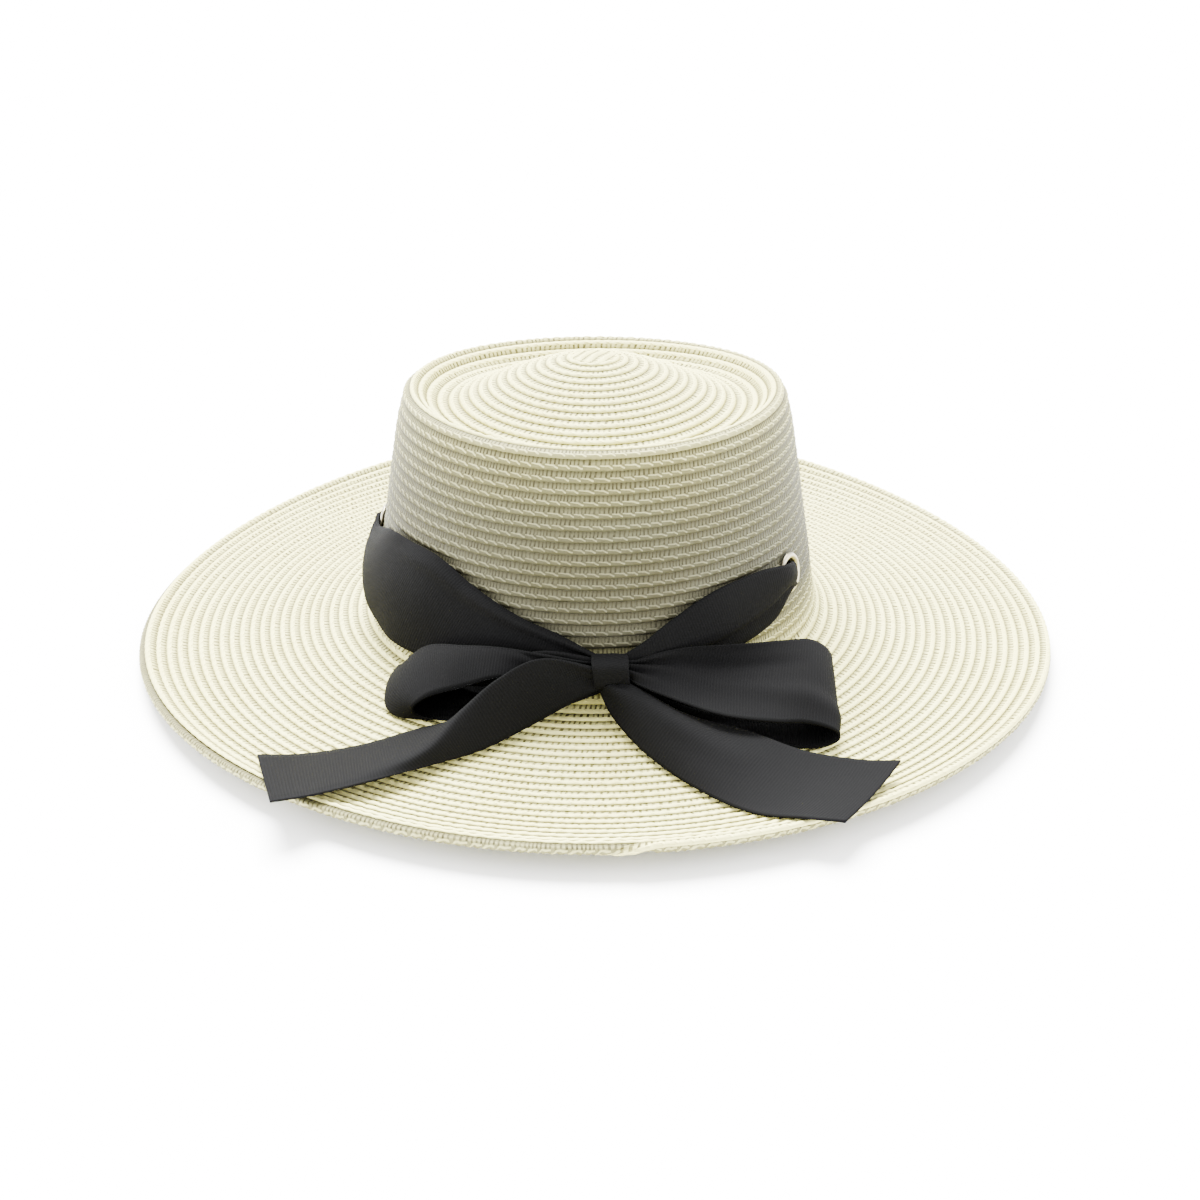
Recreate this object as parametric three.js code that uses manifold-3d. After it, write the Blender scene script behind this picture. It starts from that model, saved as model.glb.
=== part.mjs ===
// Wide-brimmed straw boater with a ribbon bow, in millimetres, +Z up, front towards -Y.
// The straw shell is hollow and open below; the ribbon is threaded through two eyelets and tied in front.
import * as THREE from 'three';
import Module from 'manifold-3d';

const wasm = await Module();
wasm.setup();

// Straw shell
const STRAW_THICKNESS = 2.4;
const JOIN_GAP = 0.3;
const SEGMENTS_ROUND = 48;
const CROWN_RINGS = 19;
const CROWN_SET_BACK = 2.8;
const BASE_HALF_WIDTH = 91.8;
const BASE_HALF_LENGTH = 93.8;
const BASE_HEIGHT = 14.0;
const TIP_HEIGHT = 111.0;
const CREST_SADDLE = 1.4;
const CREST_TIP = 1.2;

// Outer face of the crown from the tip down to the base; uneven is the share of the crest's own waviness
const CROWN_ROWS = [
  { halfWidth: 11.0, halfLength: 11.5, height: 109.4, uneven: 0.05 },
  { halfWidth: 24.0, halfLength: 25.0, height: 105.6, uneven: 0.25 },
  { halfWidth: 38.0, halfLength: 40.0, height: 100.2, uneven: 0.55 },
  { halfWidth: 50.0, halfLength: 53.0, height: 95.0, uneven: 0.85 },
  { halfWidth: 58.5, halfLength: 62.0, height: 92.0, uneven: 1.0 },
  { halfWidth: 65.5, halfLength: 69.0, height: 93.6, uneven: 1.0 },
  { halfWidth: 70.2, halfLength: 73.8, height: 96.8, uneven: 1.0 },
  { halfWidth: 73.6, halfLength: 77.2, height: 98.0, uneven: 1.0 },
  { halfWidth: 76.6, halfLength: 80.2, height: 96.0, uneven: 1.0 },
  { halfWidth: 78.2, halfLength: 81.4, height: 91.5, uneven: 0.8 },
  { halfWidth: 81.5, halfLength: 84.2, height: 72.0, uneven: 0.4 },
  { halfWidth: 85.0, halfLength: 87.5, height: 52.0, uneven: 0.1 },
  { halfWidth: 88.6, halfLength: 90.8, height: 32.0, uneven: 0.0 },
  { halfWidth: BASE_HALF_WIDTH, halfLength: BASE_HALF_LENGTH, height: BASE_HEIGHT, uneven: 0.0 },
];

// Brim
const BRIM_HALF_WIDTH = 186.0;
const BRIM_HALF_LENGTH = 190.5;
const BRIM_REACH = 96.0;
const REST_RING_START = 40.0;
const REST_RING_END = 58.0;
const EDGE_THICKNESS = 4.0;
const EDGE_HEIGHT = 7.7;
const EDGE_SADDLE = 4.1;
const EDGE_RIPPLE = 2.0;

// Top face of the brim from the crown outwards, before the edge is lifted
const BRIM_ROWS = [
  { reach: 0.0, height: BASE_HEIGHT - JOIN_GAP, thickness: STRAW_THICKNESS },
  { reach: 1.4, height: 9.6, thickness: STRAW_THICKNESS },
  { reach: 5.0, height: 6.6, thickness: STRAW_THICKNESS },
  { reach: 12.0, height: 5.0, thickness: STRAW_THICKNESS },
  { reach: 25.0, height: 3.4, thickness: STRAW_THICKNESS },
  { reach: REST_RING_START, height: STRAW_THICKNESS, thickness: STRAW_THICKNESS },
  { reach: REST_RING_END, height: STRAW_THICKNESS, thickness: STRAW_THICKNESS },
  { reach: 68.0, height: 2.45, thickness: STRAW_THICKNESS },
  { reach: 78.0, height: 2.6, thickness: STRAW_THICKNESS },
  { reach: 88.0, height: 2.8, thickness: 3.2 },
  { reach: 94.6, height: 2.9, thickness: EDGE_THICKNESS },
  { reach: BRIM_REACH, height: 1.6, thickness: 1.6 },
];
const BRIM_EDGE_TOP = 2.9;

// Eyelets: bearing is measured from the front towards +X
const EYELET_HEIGHT = 37.0;
const EYELET_BEARINGS = { left: -92, right: 58 };
const EYELET_BORE = 5.5;
const EYELET_BARREL = 6.2;
const EYELET_FLANGE = 8.0;
const EYELET_FLANGE_THICKNESS = 1.2;
const EYELET_STANDOFF = 0.8;
const EYELET_SEGMENTS = 20;

// Ribbon
const RIBBON_THICKNESS = 1.0;
const RIBBON_WIDTH = 40.0;
const RIBBON_ACROSS = 4;
const STEPS_PER_ROW = 3;
const FOLD_HALF_GAP = 1.2;
const NECK_HALF_HEIGHT = 4.2;
const NECK_BULGE = 1.3;
const FOLDED_NECK_EXTRA_DEPTH = 1.6;

// Neck of a strap through its eyelet, from the inside out: depth is along the eyelet's axis outwards,
// aside is round the wall towards the back
const NECK_ROWS = [
  { depth: -5.4, aside: 10.4 },
  { depth: -5.9, aside: 5.0 },
  { depth: -3.2, aside: 0.6 },
  { depth: 0.0, aside: 0.0 },
  { depth: 3.2, aside: -0.5 },
];

// Strap from the left eyelet to the knot, a row for each section
const STRAP_LEFT_ROWS = [
  { upper: [-88.0, -9.0, 42.2], middle: [-93.5, -9.0, 34.4], lower: [-95.3, -11.0, 25.4] },
  { upper: [-78.6, -36.8, 51.9], middle: [-89.5, -31.0, 35.2], lower: [-91.9, -31.5, 20.2] },
  { upper: [-69.8, -51.0, 53.4], middle: [-80.9, -50.5, 35.6], lower: [-85.6, -45.0, 16.4] },
  { upper: [-58.0, -64.4, 53.0], middle: [-69.0, -65.4, 35.2], lower: [-77.6, -58.6, 14.2] },
  { upper: [-44.4, -75.8, 46.2], middle: [-54.6, -76.0, 32.0], lower: [-62.0, -73.0, 14.6] },
  { upper: [-28.2, -84.8, 38.4], middle: [-35.2, -86.5, 29.8], lower: [-42.0, -85.4, 17.4] },
  { upper: [-12.1, -90.4, 33.0], middle: [-13.9, -93.2, 27.4], lower: [-16.1, -93.6, 19.4] },
  { upper: [-0.9, -94.6, 26.8], middle: [-0.9, -95.4, 24.2], lower: [-0.9, -95.0, 19.8] },
];

// Strap from the right eyelet to the knot, folded along its length with the fold upwards
const STRAP_RIGHT_ROWS = [
  { fold: [72.6, -54.2, 44.6], front: [74.0, -56.3, 36.4], back: [75.4, -52.4, 32.6] },
  { fold: [60.8, -64.4, 46.2], front: [65.4, -66.4, 30.2], back: [68.2, -61.2, 24.4] },
  { fold: [43.1, -77.9, 44.2], front: [50.2, -79.4, 25.6], back: [53.4, -75.2, 20.6] },
  { fold: [27.4, -87.3, 37.0], front: [32.4, -89.4, 24.6], back: [34.6, -86.2, 19.6] },
  { fold: [18.6, -91.4, 31.2], front: [19.4, -93.6, 21.6], back: [20.4, -91.4, 18.4] },
  { fold: [13.3, -94.0, 26.8], front: [13.3, -95.0, 20.4], back: [13.3, -93.4, 19.4] },
];

// Loops: out along the upper layer, round the end and back along the under layer
const LOOP_RIGHT_ROWS = [
  { far: [13.1, -97.4, 23.8], middle: [13.1, -98.9, 24.4], near: [13.1, -100.6, 21.8] },
  { far: [29.0, -92.6, 27.5], middle: [27.6, -102.0, 28.0], near: [26.4, -112.3, 20.0] },
  { far: [49.0, -89.7, 29.0], middle: [46.9, -105.6, 27.6], near: [44.4, -121.5, 18.0] },
  { far: [68.5, -86.2, 28.9], middle: [65.6, -103.7, 25.4], near: [62.7, -121.2, 15.0] },
  { far: [80.0, -82.8, 27.4], middle: [77.6, -100.5, 22.4], near: [75.0, -118.6, 13.0] },
  { far: [86.8, -83.2, 22.6], middle: [86.0, -101.2, 17.2], near: [84.8, -119.4, 10.2] },
  { far: [87.4, -82.6, 15.0], middle: [86.8, -100.8, 10.6], near: [85.4, -119.8, 6.4] },
  { far: [81.0, -83.0, 6.4], middle: [79.5, -101.0, 4.9], near: [77.0, -120.2, 3.9] },
  { far: [60.0, -88.0, 6.7], middle: [60.5, -102.0, 5.2], near: [60.4, -117.4, 3.9] },
  { far: [38.0, -92.6, 10.6], middle: [38.0, -101.6, 6.8], near: [38.0, -111.5, 5.2] },
  { far: [13.1, -97.4, 17.4], middle: [13.1, -98.9, 16.8], near: [13.1, -100.6, 17.2] },
];
const LOOP_LEFT_ROWS = [
  { far: [-0.7, -97.4, 24.0], middle: [-0.7, -98.7, 24.6], near: [-0.7, -100.0, 22.0] },
  { far: [-19.0, -96.4, 27.5], middle: [-18.2, -98.2, 28.6], near: [-16.7, -100.6, 17.6] },
  { far: [-33.0, -92.4, 15.0], middle: [-32.4, -93.0, 29.2], near: [-33.7, -103.5, 22.6] },
  { far: [-48.5, -87.0, 11.0], middle: [-47.2, -89.0, 28.2], near: [-49.2, -104.1, 17.0] },
  { far: [-64.5, -73.8, 9.6], middle: [-61.9, -80.6, 23.2], near: [-61.5, -101.4, 13.0] },
  { far: [-71.5, -70.4, 9.2], middle: [-72.0, -86.0, 15.0], near: [-70.8, -102.2, 9.6] },
  { far: [-74.0, -69.0, 8.0], middle: [-75.4, -87.6, 9.0], near: [-74.8, -98.4, 6.8] },
  { far: [-69.0, -69.0, 7.4], middle: [-69.4, -88.0, 5.2], near: [-67.0, -99.6, 4.4] },
  { far: [-52.0, -80.8, 8.8], middle: [-52.0, -95.2, 5.6], near: [-52.5, -103.6, 4.8] },
  { far: [-25.0, -93.6, 11.6], middle: [-24.5, -99.4, 8.0], near: [-24.0, -102.6, 8.4] },
  { far: [-0.7, -97.4, 17.4], middle: [-0.7, -98.7, 16.8], near: [-0.7, -100.0, 17.2] },
];

// Tails: from the knot out over the brim, folded to a ridge near the knot and opening flat
const TAIL_LEFT_ROWS = [
  { far: [-0.6, -101.8, 19.0], middle: [-0.6, -103.0, 24.6], near: [-0.6, -102.2, 16.6] },
  { far: [-16.6, -102.8, 20.6], middle: [-18.2, -104.2, 30.6], near: [-9.4, -106.4, 13.4] },
  { far: [-33.5, -106.8, 15.0], middle: [-33.2, -110.1, 26.0], near: [-20.8, -111.2, 8.8] },
  { far: [-48.5, -106.6, 7.8], middle: [-43.9, -111.8, 18.0], near: [-38.4, -120.4, 6.6] },
  { far: [-65.0, -108.5, 4.1], middle: [-57.5, -121.4, 11.2], near: [-57.8, -135.5, 8.4] },
  { far: [-82.4, -118.1, 3.7], middle: [-78.5, -136.0, 8.2], near: [-75.2, -153.7, 11.2] },
  { far: [-101.0, -125.5, 4.6], middle: [-95.5, -147.0, 10.3], near: [-90.1, -166.8, 14.7] },
  { far: [-114.9, -135.6, 10.4], middle: [-107.5, -156.0, 14.0], near: [-102.2, -174.4, 17.0] },
];
const TAIL_RIGHT_ROWS = [
  { far: [10.2, -98.6, 13.9], middle: [6.5, -101.4, 13.9], near: [2.6, -98.8, 13.9] },
  { far: [20.0, -105.6, 10.0], middle: [14.9, -108.4, 13.4], near: [8.8, -106.9, 9.0] },
  { far: [33.6, -119.2, 11.0], middle: [24.2, -126.0, 13.4], near: [16.6, -128.2, 4.4] },
  { far: [50.5, -123.8, 10.5], middle: [40.8, -138.4, 9.9], near: [32.3, -147.4, 3.6] },
  { far: [72.0, -132.9, 10.4], middle: [62.3, -148.4, 8.2], near: [51.4, -164.3, 6.2] },
  { far: [89.7, -141.3, 12.0], middle: [79.5, -159.4, 10.8], near: [66.7, -177.5, 13.0] },
  { far: [102.4, -146.1, 14.6], middle: [91.0, -163.6, 13.4], near: [79.0, -180.0, 13.2] },
];

// Knot
const KNOT_CENTRE = [6.2, -98.5, 21.5];
const KNOT_HALF_SIZE = [6.5, 6.0, 7.0];
const KNOT_SQUARENESS = 0.55;
const KNOT_SEGMENTS = 18;
const KNOT_RINGS = 9;

// Stretch of the ribbon inside the crown, round the back from eyelet to eyelet
const INSIDE_ROWS = 13;
const INSIDE_INSET = 3.7;
const INSIDE_END_INSET = 5.0;
const INSIDE_END_HALF_WIDTH = 5.0;
const INSIDE_START_ASIDE = { left: 12.0, right: 13.0 };

const vec = (p) => new THREE.Vector3(...p);
const lerp = THREE.MathUtils.lerp;
const radians = THREE.MathUtils.degToRad;

// A closed body from points and triangles, turned so that its faces look outwards
function closedBody(points, triangles) {
  let volume = 0;
  for (const [a, b, c] of triangles) {
    volume += points[a].dot(new THREE.Vector3().crossVectors(points[b], points[c]));
  }
  const faces = volume < 0 ? triangles.map(([a, b, c]) => [a, c, b]) : triangles;
  const geometry = new THREE.BufferGeometry();
  const places = points.flatMap((p) => p.toArray());
  geometry.setAttribute('position', new THREE.Float32BufferAttribute(places, 3));
  geometry.setIndex(faces.flat());
  return geometry;
}

// Two triangles over each square of a grid of point numbers, skipping squares that close to a point
function gridTriangles(grid) {
  const triangles = [];
  for (let i = 0; i + 1 < grid.length; i += 1) {
    for (let j = 0; j + 1 < grid[i].length; j += 1) {
      const [a, b, c, d] = [grid[i][j], grid[i + 1][j], grid[i + 1][j + 1], grid[i][j + 1]];
      if (a !== b && b !== c && a !== c) triangles.push([a, b, c]);
      if (a !== c && c !== d && a !== d) triangles.push([a, c, d]);
    }
  }
  return triangles;
}

// Smooth curve through rows of equal columns, read at a share of its length in rows
function rowCurve(values) {
  const curve = new THREE.CatmullRomCurve3(values.map(vec), false, 'catmullrom', 0.5);
  return (share) => curve.getPoint(share);
}

// Waviness of the crown's crest at an angle round from +X
function crestWave(angle) {
  return CREST_SADDLE * Math.cos(2 * angle) - CREST_TIP * Math.sin(angle);
}

// Height of the middle of the brim's edge at an angle round from +X
function edgeHeight(angle) {
  return EDGE_HEIGHT - EDGE_SADDLE * Math.cos(2 * angle) - EDGE_RIPPLE * Math.sin(3 * angle);
}

// Half sizes of the crown's outer face at a height on the side wall
function wallHalfSizes(height) {
  const wall = CROWN_ROWS.slice(-5);
  const k = wall.slice(1).findIndex((row) => height >= row.height);
  const share = (wall[k].height - height) / (wall[k].height - wall[k + 1].height);
  return [
    lerp(wall[k].halfWidth, wall[k + 1].halfWidth, share),
    lerp(wall[k].halfLength, wall[k + 1].halfLength, share),
  ];
}

// Shell between an outer and an inner family of ovals; a ring with no size closes to one point
function ovalShell(outer, inner) {
  const points = [];
  const ringNumbers = (ring) => {
    const numbers = [];
    for (let s = 0; s < SEGMENTS_ROUND; s += 1) {
      const angle = (2 * Math.PI * s) / SEGMENTS_ROUND;
      if (ring.halfWidth > 0 || s === 0) {
        points.push(new THREE.Vector3(
          ring.halfWidth * Math.cos(angle),
          ring.centre + ring.halfLength * Math.sin(angle),
          ring.height + ring.wave(angle),
        ));
      }
      numbers.push(points.length - 1);
    }
    return [...numbers, numbers[0]];
  };
  const rings = [...outer, ...inner.slice().reverse()].map(ringNumbers);
  const open = outer[0].halfWidth > 0;
  return closedBody(points, gridTriangles(open ? [...rings, rings[0]] : rings));
}

// Rings of the crown: the outer face, and the inner face one straw thickness inside it
function crownGeometry() {
  const tip = { halfWidth: 0, halfLength: 0, height: TIP_HEIGHT, uneven: 0 };
  const rows = [tip, ...CROWN_ROWS];
  const size = rowCurve(rows.map((row) => [row.halfWidth, row.halfLength, row.height]));
  const outer = [];
  const inner = [];
  for (let k = 0; k <= CROWN_RINGS; k += 1) {
    const share = k / CROWN_RINGS;
    const at = size(share);
    const before = size(Math.max(0, share - 0.004));
    const after = size(Math.min(1, share + 0.004));
    const run = Math.hypot(after.x - before.x, after.z - before.z);
    const outwards = (before.z - after.z) / run;
    const upwards = (after.x - before.x) / run;
    const row = Math.min(Math.floor(share * (rows.length - 1)), rows.length - 2);
    const uneven = lerp(rows[row].uneven, rows[row + 1].uneven, share * (rows.length - 1) - row);
    const wave = (angle) => uneven * crestWave(angle);
    const inset = k === 0 ? 0 : STRAW_THICKNESS * outwards;
    const drop = k === CROWN_RINGS ? 0 : STRAW_THICKNESS * (k === 0 ? 1 : upwards);
    const ring = { centre: CROWN_SET_BACK, wave };
    outer.push({ ...ring, halfWidth: k === 0 ? 0 : at.x, halfLength: k === 0 ? 0 : at.y, height: at.z });
    inner.push({
      ...ring,
      halfWidth: k === 0 ? 0 : at.x - inset,
      halfLength: k === 0 ? 0 : at.y - inset,
      height: at.z - drop,
    });
  }
  return ovalShell(outer, inner);
}

// Rings of the brim: the top face, and the underside one thickness away from it
function brimGeometry() {
  const top = [];
  const under = [];
  BRIM_ROWS.forEach((row, k) => {
    const before = BRIM_ROWS[Math.max(0, k - 1)];
    const after = BRIM_ROWS[Math.min(BRIM_ROWS.length - 1, k + 1)];
    const run = Math.hypot(after.reach - before.reach, after.height - before.height);
    const edge = row.reach > REST_RING_START;
    const outwards = edge || row.reach === REST_RING_START ? 0 : (before.height - after.height) / run;
    const upwards = outwards === 0 ? 1 : (after.reach - before.reach) / run;
    const lift = edge ? ((row.reach - REST_RING_END) / (BRIM_REACH - REST_RING_END)) ** 2 : 0;
    const wave = (angle) => lift * (edgeHeight(angle) + EDGE_THICKNESS / 2 - BRIM_EDGE_TOP);
    const ring = (inset, drop) => {
      const share = (row.reach - inset) / BRIM_REACH;
      return {
        halfWidth: lerp(BASE_HALF_WIDTH, BRIM_HALF_WIDTH, share),
        halfLength: lerp(BASE_HALF_LENGTH, BRIM_HALF_LENGTH, share),
        centre: CROWN_SET_BACK * (1 - share),
        height: row.height - drop,
        wave,
      };
    };
    top.push(ring(0, 0));
    under.push(ring(row.thickness * outwards, k === 0 ? 0 : row.thickness * upwards));
  });
  return ovalShell(top, under);
}

// Place and directions of an eyelet on the crown's outer face
function eyeletFrame(bearing) {
  const turn = radians(bearing);
  const [halfWidth, halfLength] = wallHalfSizes(EYELET_HEIGHT);
  const across = Math.sin(turn);
  const along = -Math.cos(turn);
  const reach = 1 / Math.hypot(across / halfWidth, along / halfLength);
  const place = new THREE.Vector3(across * reach, CROWN_SET_BACK + along * reach, EYELET_HEIGHT);
  const low = wallHalfSizes(EYELET_HEIGHT - 10)[0];
  const high = wallHalfSizes(EYELET_HEIGHT + 10)[0];
  const axis = new THREE.Vector3(across / halfWidth, along / halfLength, 0).normalize();
  axis.z = (low - high) / 20;
  axis.normalize();
  const back = new THREE.Vector3(-axis.y, axis.x, 0).normalize().multiplyScalar(Math.sign(across));
  const up = new THREE.Vector3().crossVectors(axis, back).normalize();
  if (up.z < 0) up.negate();
  return { place, axis, back, up };
}

// Turns a body made round +Y to lie along an eyelet's axis
function onEyelet(geometry, frame) {
  const turn = new THREE.Quaternion().setFromUnitVectors(new THREE.Vector3(0, 1, 0), frame.axis);
  return geometry.applyQuaternion(turn).translate(...frame.place.toArray());
}

// Flanged barrel that lines the hole in the straw
function eyeletGeometry(frame) {
  const outside = EYELET_STANDOFF;
  const inside = -STRAW_THICKNESS - EYELET_STANDOFF;
  const lip = EYELET_FLANGE_THICKNESS;
  const profile = [
    [EYELET_BORE, inside - lip * 0.5],
    [EYELET_BARREL + 0.4, inside - lip],
    [EYELET_FLANGE, inside - lip * 0.3],
    [EYELET_FLANGE, inside],
    [EYELET_BARREL, inside],
    [EYELET_BARREL, outside],
    [EYELET_FLANGE, outside],
    [EYELET_FLANGE, outside + lip * 0.3],
    [EYELET_BARREL + 0.4, outside + lip],
    [EYELET_BORE, outside + lip * 0.5],
  ];
  const points = [];
  const rings = profile.map(([radius, height]) => {
    const numbers = [];
    for (let s = 0; s < EYELET_SEGMENTS; s += 1) {
      const angle = (2 * Math.PI * s) / EYELET_SEGMENTS;
      points.push(new THREE.Vector3(radius * Math.cos(angle), height, radius * Math.sin(angle)));
      numbers.push(points.length - 1);
    }
    return [...numbers, numbers[0]];
  });
  return onEyelet(closedBody(points, gridTriangles([...rings, rings[0]])), frame);
}

// Solid for cutting, from a closed body whose points are shared between its triangles
function solidOf(geometry) {
  const mesh = new wasm.Mesh({
    numProp: 3,
    vertProperties: Float32Array.from(geometry.attributes.position.array),
    triVerts: Uint32Array.from(geometry.index.array),
  });
  return new wasm.Manifold(mesh);
}

// Closed body again after cutting
function bodyOf(solid) {
  const mesh = solid.getMesh();
  const geometry = new THREE.BufferGeometry();
  const places = [];
  for (let v = 0; v < mesh.vertProperties.length; v += mesh.numProp) {
    places.push(...mesh.vertProperties.subarray(v, v + 3));
  }
  geometry.setAttribute('position', new THREE.Float32BufferAttribute(places, 3));
  geometry.setIndex(Array.from(mesh.triVerts));
  return geometry;
}

// Crown with the two eyelet holes cut through its wall
function piercedCrown(frames) {
  let solid = solidOf(crownGeometry());
  const holeRadius = EYELET_BARREL + JOIN_GAP;
  for (const frame of frames) {
    const points = [];
    const rings = [-8, 8].map((height) => {
      const numbers = [];
      for (let s = 0; s < EYELET_SEGMENTS; s += 1) {
        const angle = (2 * Math.PI * s) / EYELET_SEGMENTS;
        points.push(new THREE.Vector3(holeRadius * Math.cos(angle), height, holeRadius * Math.sin(angle)));
        numbers.push(points.length - 1);
      }
      return [...numbers, numbers[0]];
    });
    points.push(new THREE.Vector3(0, -8, 0), new THREE.Vector3(0, 8, 0));
    const cap = (number) => new Array(EYELET_SEGMENTS + 1).fill(number);
    const body = closedBody(points, gridTriangles([
      cap(points.length - 2), ...rings, cap(points.length - 1),
    ]));
    solid = solid.subtract(solidOf(onEyelet(body, frame)));
  }
  return bodyOf(solid);
}

// Section of a soft ribbon: a parabola through its two edges and its middle
function softSection(edgeA, middle, edgeB) {
  return (share) => new THREE.Vector3()
    .addScaledVector(edgeA, (1 - share) * (1 - 2 * share))
    .addScaledVector(middle, 4 * share * (1 - share))
    .addScaledVector(edgeB, share * (2 * share - 1));
}

// Section of a ribbon folded along its length: two legs joined by a half round at the fold
function foldedSection(back, fold, front) {
  const low = new THREE.Vector3().addVectors(back, front).multiplyScalar(0.5);
  const up = new THREE.Vector3().subVectors(fold, low).normalize();
  const out = new THREE.Vector3(fold.x, fold.y - CROWN_SET_BACK, 0).normalize();
  out.addScaledVector(up, -out.dot(up)).normalize();
  const pivot = fold.clone().addScaledVector(up, -FOLD_HALF_GAP);
  const legStart = pivot.clone().addScaledVector(out, -FOLD_HALF_GAP);
  const legEnd = pivot.clone().addScaledVector(out, FOLD_HALF_GAP);
  return (share) => {
    if (share <= 0.4) return back.clone().lerp(legStart, share / 0.4);
    if (share >= 0.6) return legEnd.clone().lerp(front, (share - 0.6) / 0.4);
    const turn = Math.PI * ((share - 0.4) / 0.2);
    return pivot.clone()
      .addScaledVector(out, -FOLD_HALF_GAP * Math.cos(turn))
      .addScaledVector(up, FOLD_HALF_GAP * Math.sin(turn));
  };
}

// Ribbon through a table of sections: smooth along its length, of one thickness, closed all round
function ribbonGeometry(rows, columns, section, shares) {
  const curves = columns.map((name) => rowCurve(rows.map((row) => row[name])));
  const steps = (rows.length - 1) * STEPS_PER_ROW;
  const surface = (along, across) => section(...curves.map((curve) => curve(along)))(across);
  const points = [];
  const faces = [1, -1].map(() => []);
  const nudge = 0.002;
  for (let i = 0; i <= steps; i += 1) {
    const along = i / steps;
    const lines = [[], []];
    for (const share of shares) {
      const at = surface(along, share);
      const before = surface(Math.max(0, along - nudge), share);
      const lengthways = surface(Math.min(1, along + nudge), share).sub(before);
      const aside = surface(along, Math.max(0, share - nudge));
      const crossways = surface(along, Math.min(1, share + nudge)).sub(aside);
      const normal = new THREE.Vector3().crossVectors(lengthways, crossways).normalize();
      [1, -1].forEach((side, k) => {
        points.push(at.clone().addScaledVector(normal, (side * RIBBON_THICKNESS) / 2));
        lines[k].push(points.length - 1);
      });
    }
    lines.forEach((line, k) => faces[k].push(line));
  }
  const around = faces[0].map((line, i) => [...line, ...faces[1][i].slice().reverse(), line[0]]);
  const ends = [0, steps].map((i) => [faces[0][i], faces[1][i]]);
  const endTriangles = [gridTriangles(ends[0]), gridTriangles(ends[1].slice().reverse())].flat();
  const body = gridTriangles(around);
  return closedBody(points, matchWinding(body, endTriangles));
}

// Joins end caps to a tube of triangles so that every shared edge runs both ways
function matchWinding(body, caps) {
  const runs = new Set(body.flatMap(([a, b, c]) => [`${a} ${b}`, `${b} ${c}`, `${c} ${a}`]));
  const clash = ([a, b, c]) => runs.has(`${a} ${b}`) || runs.has(`${b} ${c}`) || runs.has(`${c} ${a}`);
  const half = caps.length / 2;
  const groups = [caps.slice(0, half), caps.slice(half)];
  const flip = (group) => group.map(([a, b, c]) => [a, c, b]);
  const turned = groups.flatMap((group) => (group.some(clash) ? flip(group) : group));
  return [...body, ...turned];
}

const EVEN_SHARES = Array.from({ length: RIBBON_ACROSS + 1 }, (_, k) => k / RIBBON_ACROSS);
const FOLD_SHARES = [0, 0.2, 0.4, 0.45, 0.5, 0.55, 0.6, 0.8, 1];

// Neck of the plain strap through an eyelet
function softNeck(frame) {
  return NECK_ROWS.map(({ depth, aside }) => {
    const at = frame.place.clone().addScaledVector(frame.axis, depth).addScaledVector(frame.back, aside);
    const bulge = at.clone().addScaledVector(frame.back, -NECK_BULGE).addScaledVector(frame.axis, 0.4);
    return {
      upper: at.clone().addScaledVector(frame.up, NECK_HALF_HEIGHT).toArray(),
      middle: bulge.toArray(),
      lower: at.clone().addScaledVector(frame.up, -NECK_HALF_HEIGHT).toArray(),
    };
  });
}

// Neck of the folded strap through an eyelet
function foldedNeck(frame) {
  return NECK_ROWS.map(({ depth, aside }) => {
    const inward = aside > 1 ? depth - FOLDED_NECK_EXTRA_DEPTH : depth;
    const at = frame.place.clone().addScaledVector(frame.axis, inward).addScaledVector(frame.back, aside);
    const foot = at.clone().addScaledVector(frame.up, -NECK_HALF_HEIGHT);
    return {
      fold: at.clone().addScaledVector(frame.up, NECK_HALF_HEIGHT).toArray(),
      front: foot.clone().addScaledVector(frame.back, -FOLD_HALF_GAP).toArray(),
      back: foot.clone().addScaledVector(frame.back, FOLD_HALF_GAP).toArray(),
    };
  });
}

// Plain band on the inner wall, round the back, gathered at its two ends
function insideRows(frames) {
  const [halfWidth, halfLength] = wallHalfSizes(EYELET_HEIGHT);
  const lean = frames.left.up;
  const leanOut = Math.hypot(lean.x, lean.y) / lean.z;
  const round = (frame, aside) => {
    const place = frame.place.clone().addScaledVector(frame.back, aside);
    return Math.atan2((place.y - CROWN_SET_BACK) / halfLength, place.x / halfWidth);
  };
  const start = round(frames.right, INSIDE_START_ASIDE.right);
  const left = round(frames.left, INSIDE_START_ASIDE.left);
  const end = left < start ? left + 2 * Math.PI : left;
  const rows = [];
  for (let k = 0; k < INSIDE_ROWS; k += 1) {
    const share = k / (INSIDE_ROWS - 1);
    const angle = lerp(start, end, share);
    const open = Math.min(1, Math.min(share, 1 - share) / 0.2);
    const ease = open * open * (3 - 2 * open);
    const inset = lerp(INSIDE_END_INSET, INSIDE_INSET, ease);
    const half = lerp(INSIDE_END_HALF_WIDTH, RIBBON_WIDTH / 2 - 1, ease);
    const at = (rise) => [
      (halfWidth - inset - rise * leanOut) * Math.cos(angle),
      CROWN_SET_BACK + (halfLength - inset - rise * leanOut) * Math.sin(angle),
      EYELET_HEIGHT + rise,
    ];
    rows.push({ upper: at(half), middle: at(0), lower: at(-half) });
  }
  return rows;
}

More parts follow.
